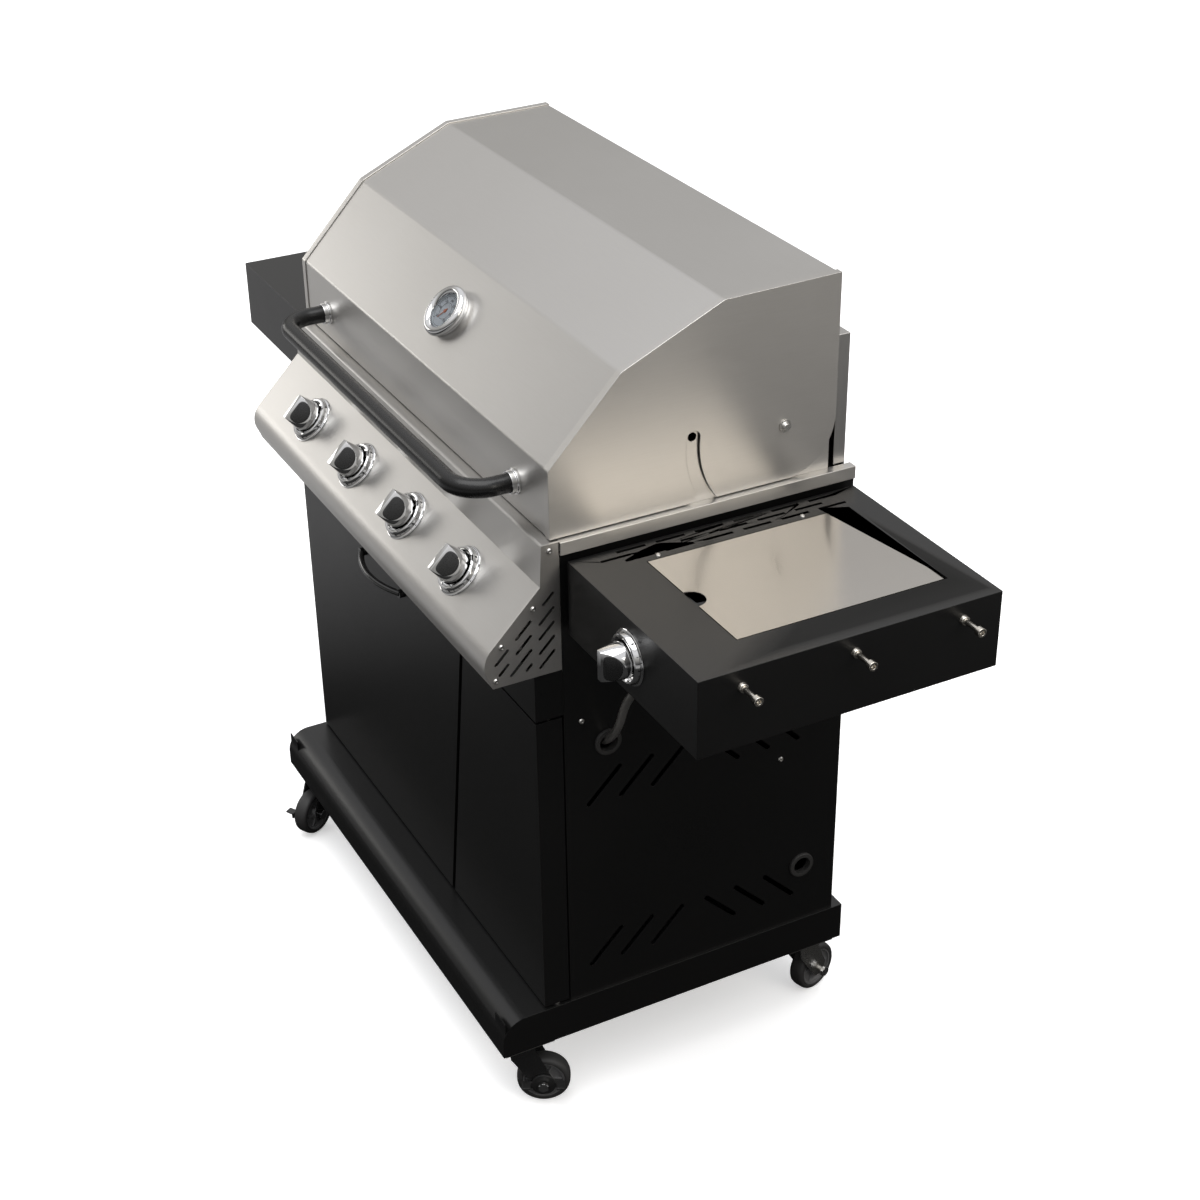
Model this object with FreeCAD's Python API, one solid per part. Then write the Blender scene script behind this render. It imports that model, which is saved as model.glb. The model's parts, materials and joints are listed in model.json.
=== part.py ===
import FreeCAD, Part
import math
import os

# Gas barbecue grill on a wheeled cabinet: four burners under a hinged hood, a side burner in the right shelf.
# Millimetres. X runs across the grill, -Y is its front, +Z is up, the floor is z = 0.
# The finished set is moved at the end so that the origin is the bottom centre of the whole object.

V = FreeCAD.Vector

# ---- Driving dimensions -------------------------------------------------------------------------
SHEET = 1.5  # folded steel sheet
PLATE = 2.0  # stiffer flat plates
SEAT_GAP = 0.3  # between a loose piece and what it rests on
PIN_GAP = 0.05  # radial clearance of a pin, bolt or stem in its hole

CASTER_H = 111.0  # floor to the underside of the base
BASE_H = 58.0
BASE_NOSE_R = 35.0  # quarter-round front edge of the base
BASE_NOSE_REACH = 105.0  # base front edge ahead of the side panels
BASE_TAIL = 16.0  # base rear edge behind the side panels
BASE_LAP = 3.4  # base side beyond the side panels

CABINET_W = 806.0
CABINET_D = 423.0
DECK_H = 712.3  # base top to the top of the side rails
Y_FRONT = -222.0  # front edges of the side panels
PANEL_DROP = 19.3  # side panel top below the deck
RETURN_W = 25.0  # folded returns of the side panels

SLOT_W = 7.0  # slanted ventilation slots of the side panels
SLOT_L = 71.0
SLOT_PITCH = 47.5
SLOT_ROWS = (72.0, 337.0)  # slot centres above the base top
SLOT_GROUP = 89.5  # from the middle of the panel to the middle of each group of three
SLOT_MIDDLE = 193.5  # middle of the slot pattern behind the panel's front edge

GROMMET_HOLE_R = 16.0
GROMMET_FLANGE_R = 19.0
GROMMET_BORE_R = 13.0
GROMMET_T = 4.0  # flange thickness each side of the panel
HOSE_HOLE = (62.0, 404.0)  # behind the panel front, above the base top
SUPPLY_HOLE = (367.0, 96.0)

FASCIA_T = 37.0  # also the thickness of the doors
DOOR_BACK_GAP = 2.0  # between the doors and the side panels
DOOR_H = 457.0
DOOR_FOOT_GAP = 3.0
SPLIT_FOOT_X = 104.0  # slanted gap between the doors, at the base top
SPLIT_LEAN = 0.167  # sideways run of that gap for each unit of height
SPLIT_GAP = 9.0
DOOR_PIN_R = 3.0
DOOR_PIN_EDGE = 7.0  # pin from the door's outer edge
DOOR_PIN_BACK = 17.0  # pin from the door's back
DOOR_PIN_L = 12.0
DOOR_HANDLE_X = -84.0
DOOR_HANDLE_W = 140.0
DOOR_HANDLE_REACH = 24.0
DOOR_HANDLE_R = 4.5
DOOR_HANDLE_DROP = 17.0  # below the door's top edge

FIREBOX_INSET = 9.0  # firebox side from the outside of the side panels
FIREBOX_H = 165.0
FIREBOX_REAR = 11.0  # firebox rear wall ahead of the cabinet rear
FIREBOX_LIP = 30.0
GRATE_LEDGE = 15.0
GRATE_DROP = 23.5  # grate seat below the deck
TAMER_DROP = 83.0  # flame tamer seat below the deck
RUNNER_DROP = 50.0  # grease tray runners below the firebox
RUNNER_W = 16.0
TRAY_H = 34.0
TRAY_TRAVEL = 330.0

RAIL_H = 17.8
RAIL_NOSE = 2.0  # rail and control panel meet this far ahead of the side panels
RAIL_OUT = 6.5  # rail's outer face beyond the side panel
SHIELD_TOP = 179.0  # rear heat shield above the deck
SHIELD_FLANGE = 17.0

HOOD_HEEL_R = 75.5  # from the hood pivot to the hood's rear edge
HEEL_GAP = 1.0  # between that heel and the side rails as the hood turns
PIVOT_R = 5.0
SPIT_R = 131.5  # rotisserie notch centre line, about the pivot
SPIT_ANGLE = 174.0
NOTCH_W = 19.0
SPIT_HOLE_R = 6.0

HOOD_INSET = 3.0  # hood side inside the cabinet's width
HOOD_LIFT = 1.7  # hood's lower edge above the deck
HOOD_FRONT = 11.5  # hood front ahead of the side panels
HOOD_WALL_H = 91.0  # upright lower front
HOOD_FACE = (99.5, 105.6)  # run and rise of the sloping face above it
HOOD_CROWN = (140.0, 63.1)  # run and rise of the next face
HOOD_TOP_RISE = 3.0
HOOD_REAR = 19.0  # hood rear ahead of the firebox rear wall
HOOD_BACK_LIP = 60.0
HOOD_SIDE_LIP = 11.0  # folded lip of the side plates over the hood sheet

HANDLE_R = 12.5
HANDLE_WALL = 1.5
HANDLE_HALF = 308.0
HANDLE_REACH = 72.0
HANDLE_BEND_R = 42.0
HANDLE_H = 39.0  # above the hood's lower edge
FERRULE_R = 17.0
FERRULE_L = 11.0
THERMO_R = 37.0
THERMO_H = 14.0
THERMO_STEM_R = 4.0
THERMO_STEM_L = 45.0

PANEL_TOP_OUT = 26.0  # control panel's upright face ahead of the side panels
PANEL_FACE_DROP = 55.7
PANEL_SLOPE = (67.0, 68.1)  # run and drop of the sloping face
PANEL_NOSE = ((10.3, 19.5), (6.6, 40.5))  # middle and end of the rounded nose, from the slope's foot
PANEL_BOTTOM_DROP = 179.6
PANEL_TUCK = 0.3  # bottom front corner behind the slope's foot
PANEL_SILL = 30.0
END_SLOT_FIRST = (10.7, 66.0)  # upper end of the first slot, ahead of the side panel and below the deck
END_SLOT_STEP = 31.5  # from one column of slots to the next, forwards and down
END_SLOT_PITCH = 20.3
END_SLOT_W = 4.0
END_SLOT_LENGTHS = ((22, 30, 31, 31, 31), (31, 31, 43, 13), (27, 20))
KNOB_PITCH = 170.0
KNOB_DOWN_SLOPE = 54.7
KNOB_R = 20.5
KNOB_H = 10.5
KNOB_LIFT = 10.5  # knob's underside above the panel, clear of the bezel's rim when pressed in
KNOB_GRIP_W = 15.0
KNOB_GRIP_L = 48.0
KNOB_GRIP_H = 20.0
KNOB_PUSH = 4.0
BEZEL_R = 31.0
BEZEL_H = 6.0
BEZEL_BORE_R = 14.0
STEM_R = 4.0
STEM_HOLE_R = 9.0
VALVE_R = 11.0
VALVE_L = 37.0
VALVE_BACK = SHEET  # the tap seats on the back of the panel sheet
MANIFOLD_R = 10.0
NOZZLE_R = 4.0
NOZZLE_DEPTH = 28.0
NOZZLE_L = 34.0
BURNER_R = 16.0
BURNER_END = 22.0  # burner's closed end ahead of the firebox rear wall
TAMER_W = 84.0
TAMER_RISE = 26.0

SHELF_GAP = 10.4  # between a side panel and its shelf
SHELF_L = 310.6
SHELF_H = 102.5
SHELF_DROP = 25.0  # shelf top below the deck
SHELF_FRONT = 5.0  # shelf front behind the side panels' front
SHELF_D = 411.4
SHELF_BOSS_R = 8.0
SHELF_SLOT = (40.0, 5.0)
SHELF_SLOT_PITCH = 55.0
SHELF_SLOT_ROWS = (9.0, 21.0, 33.0)
WELL_IN = 46.2  # side-burner opening from the shelf's inner end
WELL_W = 208.7
WELL_FRONT = 83.1
WELL_D = 290.0
WELL_FLANGE = 18.0
WELL_LIP = 7.0
BOWL_DEPTH = 60.0
LID_GAP = 1.3
LID_FLANGE = 10.0
LID_BARREL_R = 5.0
LID_PIN_R = 2.0
LID_PIN_L = 12.0
LID_NOTCH_R = 18.0
SIDE_HEAD_R = 45.0
SIDE_CAP_R = 38.0
SIDE_TUBE_R = 9.0
TRIVET_BAR = 7.0
PEG_PITCH = 150.0
PEG_DOWN = 23.3
PEG_L = 36.0
PEG_R = 3.5
PEG_FLANGE_R = 7.0
PEG_HEAD_R = 6.0

HOSE_R = 5.5
HOSE_X = 345.0  # where the hose meets the gas rail
SCREW = (4.2, 2.2)  # head radius and height
SHELF_SCREW = (3.6, 1.8)
SHELF_SCREW_IN = 39.5  # from the shelf's inner end
SIDE_SCREWS = ((25.0, 446.0), (327.0, 288.0))  # behind the panel's front edge, above the base top

CASTER_X = 374.0
CASTER_FRONT = -64.0  # front kingpins, from the side panels' front
CASTER_REAR = 390.0
CASTER_PLATE = (62.0, 74.0)
CASTER_PLATE_T = 3.0
WHEEL_R = 37.5
WHEEL_W = 24.0
TRAIL = 30.0
FORK_T = 2.5
FORK_GAP = 2.5
AXLE_R = 4.0
KINGPIN_R = 6.0
BRAKE_T = 4.0

# ---- Derived levels and faces -------------------------------------------------------------------
Z_BASE = CASTER_H
Z_FLOOR = Z_BASE + BASE_H
Z_DECK = Z_FLOOR + DECK_H
HALF = CABINET_W / 2
Y_REAR = Y_FRONT + CABINET_D
FIRE_X = HALF - FIREBOX_INSET
FIRE_FRONT = Y_FRONT + SHEET + 0.5
FIRE_REAR = Y_REAR - FIREBOX_REAR
FIRE_TOP = Z_DECK - SHEET
FIRE_BOTTOM = FIRE_TOP - FIREBOX_H
RUNNER_Z = FIRE_BOTTOM - RUNNER_DROP
DOOR_BACK = Y_FRONT - DOOR_BACK_GAP
DOOR_FRONT = DOOR_BACK - FASCIA_T
DOOR_FOOT = Z_FLOOR + DOOR_FOOT_GAP
DOOR_TOP = DOOR_FOOT + DOOR_H
FASCIA_BOTTOM = DOOR_TOP + DOOR_FOOT_GAP
FASCIA_TOP = Z_DECK - PANEL_BOTTOM_DROP
PANEL_BACK = Y_FRONT - RAIL_NOSE
HOOD_X = HALF - HOOD_INSET
HOOD_Y = Y_FRONT - HOOD_FRONT
HOOD_Z = Z_DECK + HOOD_LIFT
HOOD_BACK = FIRE_REAR - HOOD_REAR
PIVOT_Y = HOOD_BACK - HOOD_HEEL_R
PIVOT_Z = Z_DECK + HOOD_HEEL_R + HEEL_GAP
SHELF_X = HALF + SHELF_GAP
SHELF_END = SHELF_X + SHELF_L
SHELF_Z = Z_DECK - SHELF_DROP
SHELF_Y = Y_FRONT + SHELF_FRONT
SHELF_BACK = SHELF_Y + SHELF_D
WELL_X = SHELF_X + WELL_IN
WELL_Y = SHELF_Y + WELL_FRONT
SIDE_KNOB_X = SHELF_X + SHELF_L / 2
SIDE_KNOB_Z = SHELF_Z - SHELF_H / 2
KNOB_XS = [KNOB_PITCH * (i - 1.5) for i in range(4)]


# ---- Small builders -----------------------------------------------------------------------------
def box(x0, x1, y0, y1, z0, z1):
    return Part.makeBox(x1 - x0, y1 - y0, z1 - z0, V(x0, y0, z0))


def rod(start, end, r):
    """Solid cylinder between two points."""
    axis = end - start
    return Part.makeCylinder(r, axis.Length, start, axis)


def cone(start, end, r0, r1):
    axis = end - start
    return Part.makeCone(r0, r1, axis.Length, start, axis)


def ring(start, end, r_out, r_in):
    return rod(start, end, r_out).cut(rod(start, end, r_in))


def prism_x(points, x0, x1):
    """Closed outline of (y, z) points, run along X."""
    wire = Part.makePolygon([V(x0, y, z) for y, z in points + points[:1]])
    return Part.Face(wire).extrude(V(x1 - x0, 0, 0))


def prism_y(points, y0, y1):
    """Closed outline of (x, z) points, run along Y."""
    wire = Part.makePolygon([V(x, y0, z) for x, z in points + points[:1]])
    return Part.Face(wire).extrude(V(0, y1 - y0, 0))


def inset(points, t):
    """The open (y, z) line moved to its right by t, with mitred corners."""
    moved = []
    for i, (y, z) in enumerate(points):
        before = points[max(i - 1, 0)]
        after = points[min(i + 1, len(points) - 1)]
        normals = []
        for a, b in ((before, (y, z)), ((y, z), after)):
            run = math.hypot(b[0] - a[0], b[1] - a[1])
            if run > 0:
                normals.append(((b[1] - a[1]) / run, (a[0] - b[0]) / run))
        n0, n1 = normals[0], normals[-1]
        scale = t / (1 + n0[0] * n1[0] + n0[1] * n1[1])
        moved.append((y + (n0[0] + n1[0]) * scale, z + (n0[1] + n1[1]) * scale))
    return moved


def strip_x(points, t, x0, x1):
    """Sheet of thickness t whose outer face follows the (y, z) line."""
    return prism_x(points + inset(points, t)[::-1], x0, x1)


def fuse(shapes):
    return shapes[0].fuse(shapes[1:]).removeSplitter()


def mirrored(shape):
    return shape.mirror(V(0, 0, 0), V(1, 0, 0))


def pair(shape):
    """A right-hand piece and its left-hand copy."""
    return [shape, mirrored(shape)]


def screw_head(at, out, r, h):
    """Domed screw head with a round drive recess."""
    head = cone(at, at + out * h, r, r * 0.7)
    return head.cut(rod(at + out * h * 0.5, at + out * h * 1.1, r * 0.35))


def slot_yz(x0, x1, y, z, length, width, lean):
    """Round-ended slot through a plate in the YZ plane; lean is its angle from +Y in degrees."""
    half = (length - width) / 2
    core = box(x0, x1, -half, half, -width / 2, width / 2)
    ends = [rod(V(x0, s * half, 0), V(x1, s * half, 0), width / 2) for s in (-1, 1)]
    shape = fuse([core] + ends)
    shape.rotate(V(0, 0, 0), V(1, 0, 0), lean)
    shape.translate(V(0, y, z))
    return shape


def tube_route(points, r):
    """Solid cord along straight runs joined by tangent arcs as large as the runs allow."""
    start = points[0]
    edges = []
    total = 0.0
    for before, corner, after in zip(points, points[1:], points[2:]):
        a = (before - corner).normalize()
        b = (after - corner).normalize()
        turn = math.pi - a.getAngle(b)
        cut = 0.45 * min((before - corner).Length, (after - corner).Length)
        radius = cut / math.tan(turn / 2)
        print("hose bend radius %.0f" % radius)
        p = corner + a * cut
        q = corner + b * cut
        middle = (a + b).normalize()
        top = corner + middle * (radius / math.cos(turn / 2) - radius)
        edges.append(Part.LineSegment(start, p).toShape())
        edges.append(Part.Arc(p, top, q).toShape())
        total += (p - start).Length + radius * turn
        start = q
    edges.append(Part.LineSegment(start, points[-1]).toShape())
    total += (points[-1] - start).Length
    first = points[1] - points[0]
    disc = Part.Face(Part.Wire(Part.makeCircle(r, points[0], first)))
    solid = Part.Wire(edges).makePipe(disc)
    share = solid.Volume / (math.pi * r * r * total)
    print("hose length %.0f, volume / (section x length) %.4f" % (total, share))
    return solid


# ---- Base, side panels, rear panel, front beam --------------------------------------------------
def base_outline(x, shrink):
    """Side outline of the base: upright front, quarter-round nose, flat top."""
    front = Y_FRONT - BASE_NOSE_REACH + shrink
    back = Y_REAR + BASE_TAIL - shrink
    top = Z_FLOOR - shrink
    r = BASE_NOSE_R - shrink
    lean = r * math.sqrt(0.5)
    centre_y, centre_z = front + r, top - r
    edges = [
        Part.LineSegment(V(x, front, Z_BASE), V(x, front, centre_z)).toShape(),
        Part.Arc(
            V(x, front, centre_z), V(x, centre_y - lean, centre_z + lean), V(x, centre_y, top)
        ).toShape(),
        Part.LineSegment(V(x, centre_y, top), V(x, back, top)).toShape(),
        Part.LineSegment(V(x, back, top), V(x, back, Z_BASE)).toShape(),
        Part.LineSegment(V(x, back, Z_BASE), V(x, front, Z_BASE)).toShape(),
    ]
    return Part.Face(Part.Wire(edges))


def base_tray():
    """Bottom tray folded from one sheet, hollow from below, with lips that take the caster plates."""
    x = HALF + BASE_LAP
    outer = base_outline(-x, 0).extrude(V(2 * x, 0, 0))
    inner = base_outline(-x + SHEET, SHEET).extrude(V(2 * (x - SHEET), 0, 0))
    pads = []
    for sx, cy in [(s, y) for s in (-1, 1) for y in (Y_FRONT + CASTER_FRONT, Y_FRONT + CASTER_REAR)]:
        cx = sx * CASTER_X
        half_w, half_l = CASTER_PLATE[0] / 2, CASTER_PLATE[1] / 2
        pads.append(box(cx - half_w, cx + half_w, cy - half_l, cy + half_l, Z_BASE, Z_BASE + SHEET))
        wall = sx * (x - SHEET)
        web = sorted((cx, wall))
        pads.append(box(web[0], web[1], cy - half_l, cy - half_l + SHEET, Z_BASE, Z_FLOOR - SHEET))
        pads.append(box(web[0], web[1], cy + half_l - SHEET, cy + half_l, Z_BASE, Z_FLOOR - SHEET))
    return fuse([outer.cut(inner)] + pads)


def side_panel():
    """Right-hand cabinet side with folded returns and two sets of slanted slots."""
    x0, x1 = HALF - SHEET, HALF
    top = Z_DECK - PANEL_DROP
    plate = box(x0, x1, Y_FRONT, Y_REAR, Z_FLOOR, top)
    front = box(HALF - RETURN_W, HALF, Y_FRONT, Y_FRONT + SHEET, Z_FLOOR, FASCIA_TOP)
    rear = box(HALF - RETURN_W, HALF, Y_REAR - SHEET, Y_REAR, Z_FLOOR, RUNNER_Z - 12)
    panel = fuse([plate, front, rear])
    middle = Y_FRONT + SLOT_MIDDLE
    cuts = []
    for z in SLOT_ROWS:
        for i in (-1, 0, 1):
            y_front = middle - SLOT_GROUP + i * SLOT_PITCH
            y_rear = middle + SLOT_GROUP + i * SLOT_PITCH
            cuts.append(slot_yz(x0 - 1, x1 + 1, y_front, Z_FLOOR + z, SLOT_L, SLOT_W, 45))
            cuts.append(slot_yz(x0 - 1, x1 + 1, y_rear, Z_FLOOR + z, SLOT_L, SLOT_W, -45))
    return panel.cut(cuts)


def grommet_point(place):
    return V(HALF, Y_FRONT + place[0], Z_FLOOR + place[1])


def right_side_panel():
    panel = side_panel()
    for place in (HOSE_HOLE, SUPPLY_HOLE):
        at = grommet_point(place)
        panel = panel.cut(rod(at + V(-5, 0, 0), at + V(5, 0, 0), GROMMET_HOLE_R))
    return panel


def hose_grommets():
    """Snap-in bushes: a flange on each face of the panel and a neck through the hole."""
    out = []
    for place in (HOSE_HOLE, SUPPLY_HOLE):
        at = grommet_point(place)
        inside = at - V(SHEET, 0, 0)
        flange = rod(at, at + V(GROMMET_T, 0, 0), GROMMET_FLANGE_R)
        rim = [e for e in flange.Edges if e.BoundBox.XMin > at.x + 1 and e.BoundBox.YLength > 5]
        flange = flange.makeFillet(1.5, rim)
        neck = rod(inside, at, GROMMET_HOLE_R)
        barb = cone(inside - V(GROMMET_T, 0, 0), inside, GROMMET_HOLE_R, GROMMET_HOLE_R + 1.5)
        bush = fuse([flange, neck, barb])
        bore = rod(inside - V(GROMMET_T + 1, 0, 0), at + V(GROMMET_T + 1, 0, 0), GROMMET_BORE_R)
        out.append(bush.cut(bore))
    return out


def rear_panel():
    """Cabinet back between the side panels' returns, with a folded top edge."""
    x = HALF - SHEET
    y = Y_REAR - SHEET
    top = RUNNER_Z - 14
    sheet = box(-x, x, y - SHEET, y, Z_FLOOR, top)
    fold = box(-x, x, y - 20, y, top - SHEET, top)
    slots = [
        box(-150, 150, y - 5, y + 5, top - 90 - 30 * i, top - 82 - 30 * i) for i in range(4)
    ]
    return fuse([sheet, fold]).cut(slots)


def fascia_beam():
    """Front cross beam above the doors: face, foot and ends."""
    z0, z1 = FASCIA_BOTTOM, FASCIA_TOP
    outer = box(-HALF, HALF, DOOR_FRONT, Y_FRONT, z0, z1)
    hollow = box(-HALF + SHEET, HALF - SHEET, DOOR_FRONT + SHEET, Y_FRONT + 1, z0 + SHEET, z1 + 1)
    return outer.cut(hollow)


# ---- Firebox and what stands on it --------------------------------------------------------------
def knob_normal():
    run, drop = PANEL_SLOPE
    size = math.hypot(run, drop)
    return V(0, -drop / size, run / size)


def knob_point(x):
    """Where a knob's axis meets the sloping face."""
    run, drop = PANEL_SLOPE
    share = KNOB_DOWN_SLOPE / math.hypot(run, drop)
    y = Y_FRONT - PANEL_TOP_OUT - 3 - run * share
    z = Z_DECK - PANEL_FACE_DROP - drop * share
    return V(x, y, z)


NOZZLE = knob_point(0) - knob_normal() * NOZZLE_DEPTH
BURNER_Z = NOZZLE.z


def firebox():
    """Open-topped steel box with lips below, ledges for grates and flame tamers, and tray runners."""
    x, y0, y1 = FIRE_X, FIRE_FRONT, FIRE_REAR
    outer = box(-x, x, y0, y1, FIRE_BOTTOM, FIRE_TOP)
    inner = box(-x + SHEET, x - SHEET, y0 + SHEET, y1 - SHEET, FIRE_BOTTOM + SHEET, FIRE_TOP + 1)
    mouth = box(
        -x + FIREBOX_LIP, x - FIREBOX_LIP, y0 + FIREBOX_LIP, y1 - FIREBOX_LIP,
        FIRE_BOTTOM - 1, FIRE_BOTTOM + 3,
    )
    shell = outer.cut(inner).cut(mouth)
    holes = [rod(V(kx, y0 - 1, BURNER_Z), V(kx, y0 + 3, BURNER_Z), BURNER_R + 0.5) for kx in KNOB_XS]
    adds = []
    for drop in (GRATE_DROP, TAMER_DROP):
        z = Z_DECK - drop
        adds.append(box(-x + 1, x - 1, y0 + 1, y0 + GRATE_LEDGE, z - SHEET, z))
        adds.append(box(-x + 1, x - 1, y1 - GRATE_LEDGE, y1 - 1, z - SHEET, z))
    for s in (-1, 1):
        edge = sorted((s * x, s * (x - SHEET)))
        adds.append(box(edge[0], edge[1], y0, y1, RUNNER_Z - SHEET, FIRE_BOTTOM + 1))
        foot = sorted((s * x, s * (x - RUNNER_W)))
        adds.append(box(foot[0], foot[1], y0, y1, RUNNER_Z - SHEET, RUNNER_Z))
        hang = sorted((s * (x - 1), s * (HALF - SHEET)))
        z = Z_DECK - PANEL_DROP - 25
        adds.append(box(hang[0], hang[1], y0 + 20, y1 - 20, z - SHEET, z))
    return fuse([shell.cut(holes)] + adds)


def side_rail():
    """Stainless strip along the deck's side: outer face, flat top, inner upstand on the hinge plate."""
    x0, x1 = FIRE_X + PLATE, HALF + RAIL_OUT
    y0, y1 = Y_FRONT - RAIL_NOSE, Y_REAR - 2
    z1, z0 = Z_DECK, Z_DECK - RAIL_H
    top = box(x0, x1, y0, y1, z1 - SHEET, z1)
    face = box(x1 - SHEET, x1, y0, y1, z0, z1)
    inner = box(x0, x0 + SHEET, y0, y1, z0, z1)
    ledge = box(HALF - SHEET, x1, y0, y1, z0, z0 + SHEET)
    return fuse([top, face, inner, ledge])


def rear_heat_shield():
    """Upright stainless plate behind the hood, with flanges turned forwards."""
    x = FIRE_X
    y = FIRE_REAR
    z0, z1 = Z_DECK - 40, Z_DECK + SHIELD_TOP
    sheet = box(-x, x, y, y + SHEET, z0, z1)
    top = box(-x, x, y + SHEET - SHIELD_FLANGE, y + SHEET, z1 - SHEET, z1)
    ends = [
        box(min(s * x, s * (x - SHEET)), max(s * x, s * (x - SHEET)), y + SHEET - SHIELD_FLANGE, y + SHEET,
            Z_DECK + 0.5, z1)
        for s in (-1, 1)
    ]
    return fuse([sheet, top] + ends)


def polar(r, degrees):
    """Point at a radius and angle about the hood pivot, angle counted from +Y towards +Z."""
    a = math.radians(degrees)
    return (PIVOT_Y + r * math.cos(a), PIVOT_Z + r * math.sin(a))


SPIT = polar(SPIT_R, SPIT_ANGLE)
RACK_RODS = ((PIVOT_Y - 75, PIVOT_Z + 22), (PIVOT_Y + 20, PIVOT_Z + 22))
RACK_ROD_R = 3.0


def hinge_plate():
    """Upright inner plate on the firebox side: carries the hood pivot, the spit and the rack."""
    x0, x1 = FIRE_X, FIRE_X + PLATE
    foot = Z_DECK - 30
    points = [
        (SPIT[0] - 60, foot), (FIRE_REAR - 25, foot), (FIRE_REAR - 25, PIVOT_Z - 8),
        (PIVOT_Y + 38, PIVOT_Z + 38), (SPIT[0] - 12, PIVOT_Z + 38), (SPIT[0] - 40, PIVOT_Z),
    ]
    plate = prism_x(points, x0, x1)
    holes = [
        rod(V(x0 - 1, PIVOT_Y, PIVOT_Z), V(x1 + 1, PIVOT_Y, PIVOT_Z), PIVOT_R + PIN_GAP),
        rod(V(x0 - 1, SPIT[0], SPIT[1]), V(x1 + 1, SPIT[0], SPIT[1]), SPIT_HOLE_R),
    ]
    for y, z in RACK_RODS:
        holes.append(rod(V(x0 - 1, y, z), V(x1 + 1, y, z), RACK_ROD_R + PIN_GAP))
    return plate.cut(holes)


def pivot_bolt():
    """Shoulder bolt: head and washer outside, spacer between the plates, nut inside."""
    x_in = FIRE_X
    hood_in = HOOD_X - SHEET

    def at(x):
        return V(x, PIVOT_Y, PIVOT_Z)

    return fuse([
        rod(at(x_in - 6), at(HOOD_X + 2), PIVOT_R),
        rod(at(x_in + PLATE), at(hood_in - 0.2), 9.0),
        rod(at(HOOD_X + 0.2), at(HOOD_X + 1.8), 8.5),
        cone(at(HOOD_X + 1.8), at(HOOD_X + 6.5), 6.5, 4.5),
        rod(at(x_in - 6), at(x_in), 8.0),
    ])


def warming_rack():
    """Welded wire rack whose two long rods end in the hinge plates."""
    x = FIRE_X + PLATE
    (ya, z), (yb, _) = RACK_RODS
    parts = [rod(V(-x, y, z), V(x, y, z), RACK_ROD_R) for y in (ya, yb)]
    count = 25
    for i in range(count):
        wx = -x + 40 + i * (2 * x - 80) / (count - 1)
        parts.append(rod(V(wx, ya, z), V(wx, yb, z), 2.0))
    return fuse(parts)


def grate_seat():
    return Z_DECK - GRATE_DROP + SEAT_GAP


def grate_outline():
    """Inside width and depth that a grate may fill."""
    side = FIRE_X - SHEET - 3
    return side, FIRE_FRONT + SHEET + 2, FIRE_REAR - SHEET - 2


def cooking_grate():
    """Cast grate over the right-hand pair of burners: a frame with long bars."""
    side, y0, y1 = grate_outline()
    z = grate_seat()
    plate = box(2, side, y0, y1, z, z + 12)
    count = 19
    pitch = (side - 2 - 14) / count
    cuts = []
    for i in range(count):
        x = 2 + 7 + i * pitch + pitch * 0.2
        for ya, yb in ((y0 + 12, (y0 + y1) / 2 - 5), ((y0 + y1) / 2 + 5, y1 - 12)):
            cuts.append(box(x, x + pitch * 0.6, ya, yb, z - 1, z + 13))
    return plate.cut(cuts)


def hotplate():
    """Cast plate over the left-hand pair: flat, rimmed, with a drain slot at the front."""
    side, y0, y1 = grate_outline()
    z = grate_seat()
    plate = box(-side, -2, y0, y1, z, z + 14)
    hollow = box(-side + 8, -10, y0 + 8, y1 - 8, z + 6, z + 15)
    drain = box(-side / 2 - 30, -side / 2 + 30, y0 + 20, y0 + 32, z - 1, z + 7)
    return plate.cut([hollow, drain])


def flame_tamers():
    """Inverted V sheets over the burners."""
    out = []
    z = Z_DECK - TAMER_DROP + SEAT_GAP
    y0, y1 = FIRE_FRONT + SHEET + 0.5, FIRE_REAR - SHEET - 0.5
    for x in KNOB_XS:
        line = [(x - TAMER_W / 2, z), (x, z + TAMER_RISE), (x + TAMER_W / 2, z)]
        low = [(px, pz - 2.2) for px, pz in ((line[1]),)]
        points = line + [(x + TAMER_W / 2 - 4, z)] + low + [(x - TAMER_W / 2 + 4, z)]
        out.append(prism_y(points, y0, y1))
    return out


def tube_burners():
    """Closed steel tubes with a row of ports each side, a venturi mouth and a rear tab."""
    out = []
    mouth = Y_FRONT - 12
    end = FIRE_REAR - SHEET - BURNER_END
    for x in KNOB_XS:
        tube = rod(V(x, mouth, BURNER_Z), V(x, end, BURNER_Z), BURNER_R)
        bore = rod(V(x, mouth - 1, BURNER_Z), V(x, end - 2, BURNER_Z), BURNER_R - SHEET)
        tab = box(x - 10, x + 10, end - 1, FIRE_REAR - SHEET, BURNER_Z - 1, BURNER_Z + 1)
        out.append(fuse([tube.cut(bore), tab]))
    return out


def grease_tray():
    """Shallow pan on the runners, with a pull lip at the rear."""
    x = FIRE_X - SHEET - 1.5
    y0, y1 = FIRE_FRONT + 22, FIRE_REAR - 3
    z = RUNNER_Z + SEAT_GAP
    pan = box(-x, x, y0, y1, z, z + TRAY_H)
    hollow = box(-x + SHEET, x - SHEET, y0 + SHEET, y1 - SHEET, z + SHEET, z + TRAY_H + 1)
    lip = box(-120, 120, y1 - 1, y1 + 16, z + TRAY_H - SHEET, z + TRAY_H)
    return fuse([pan.cut(hollow), lip])


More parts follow.
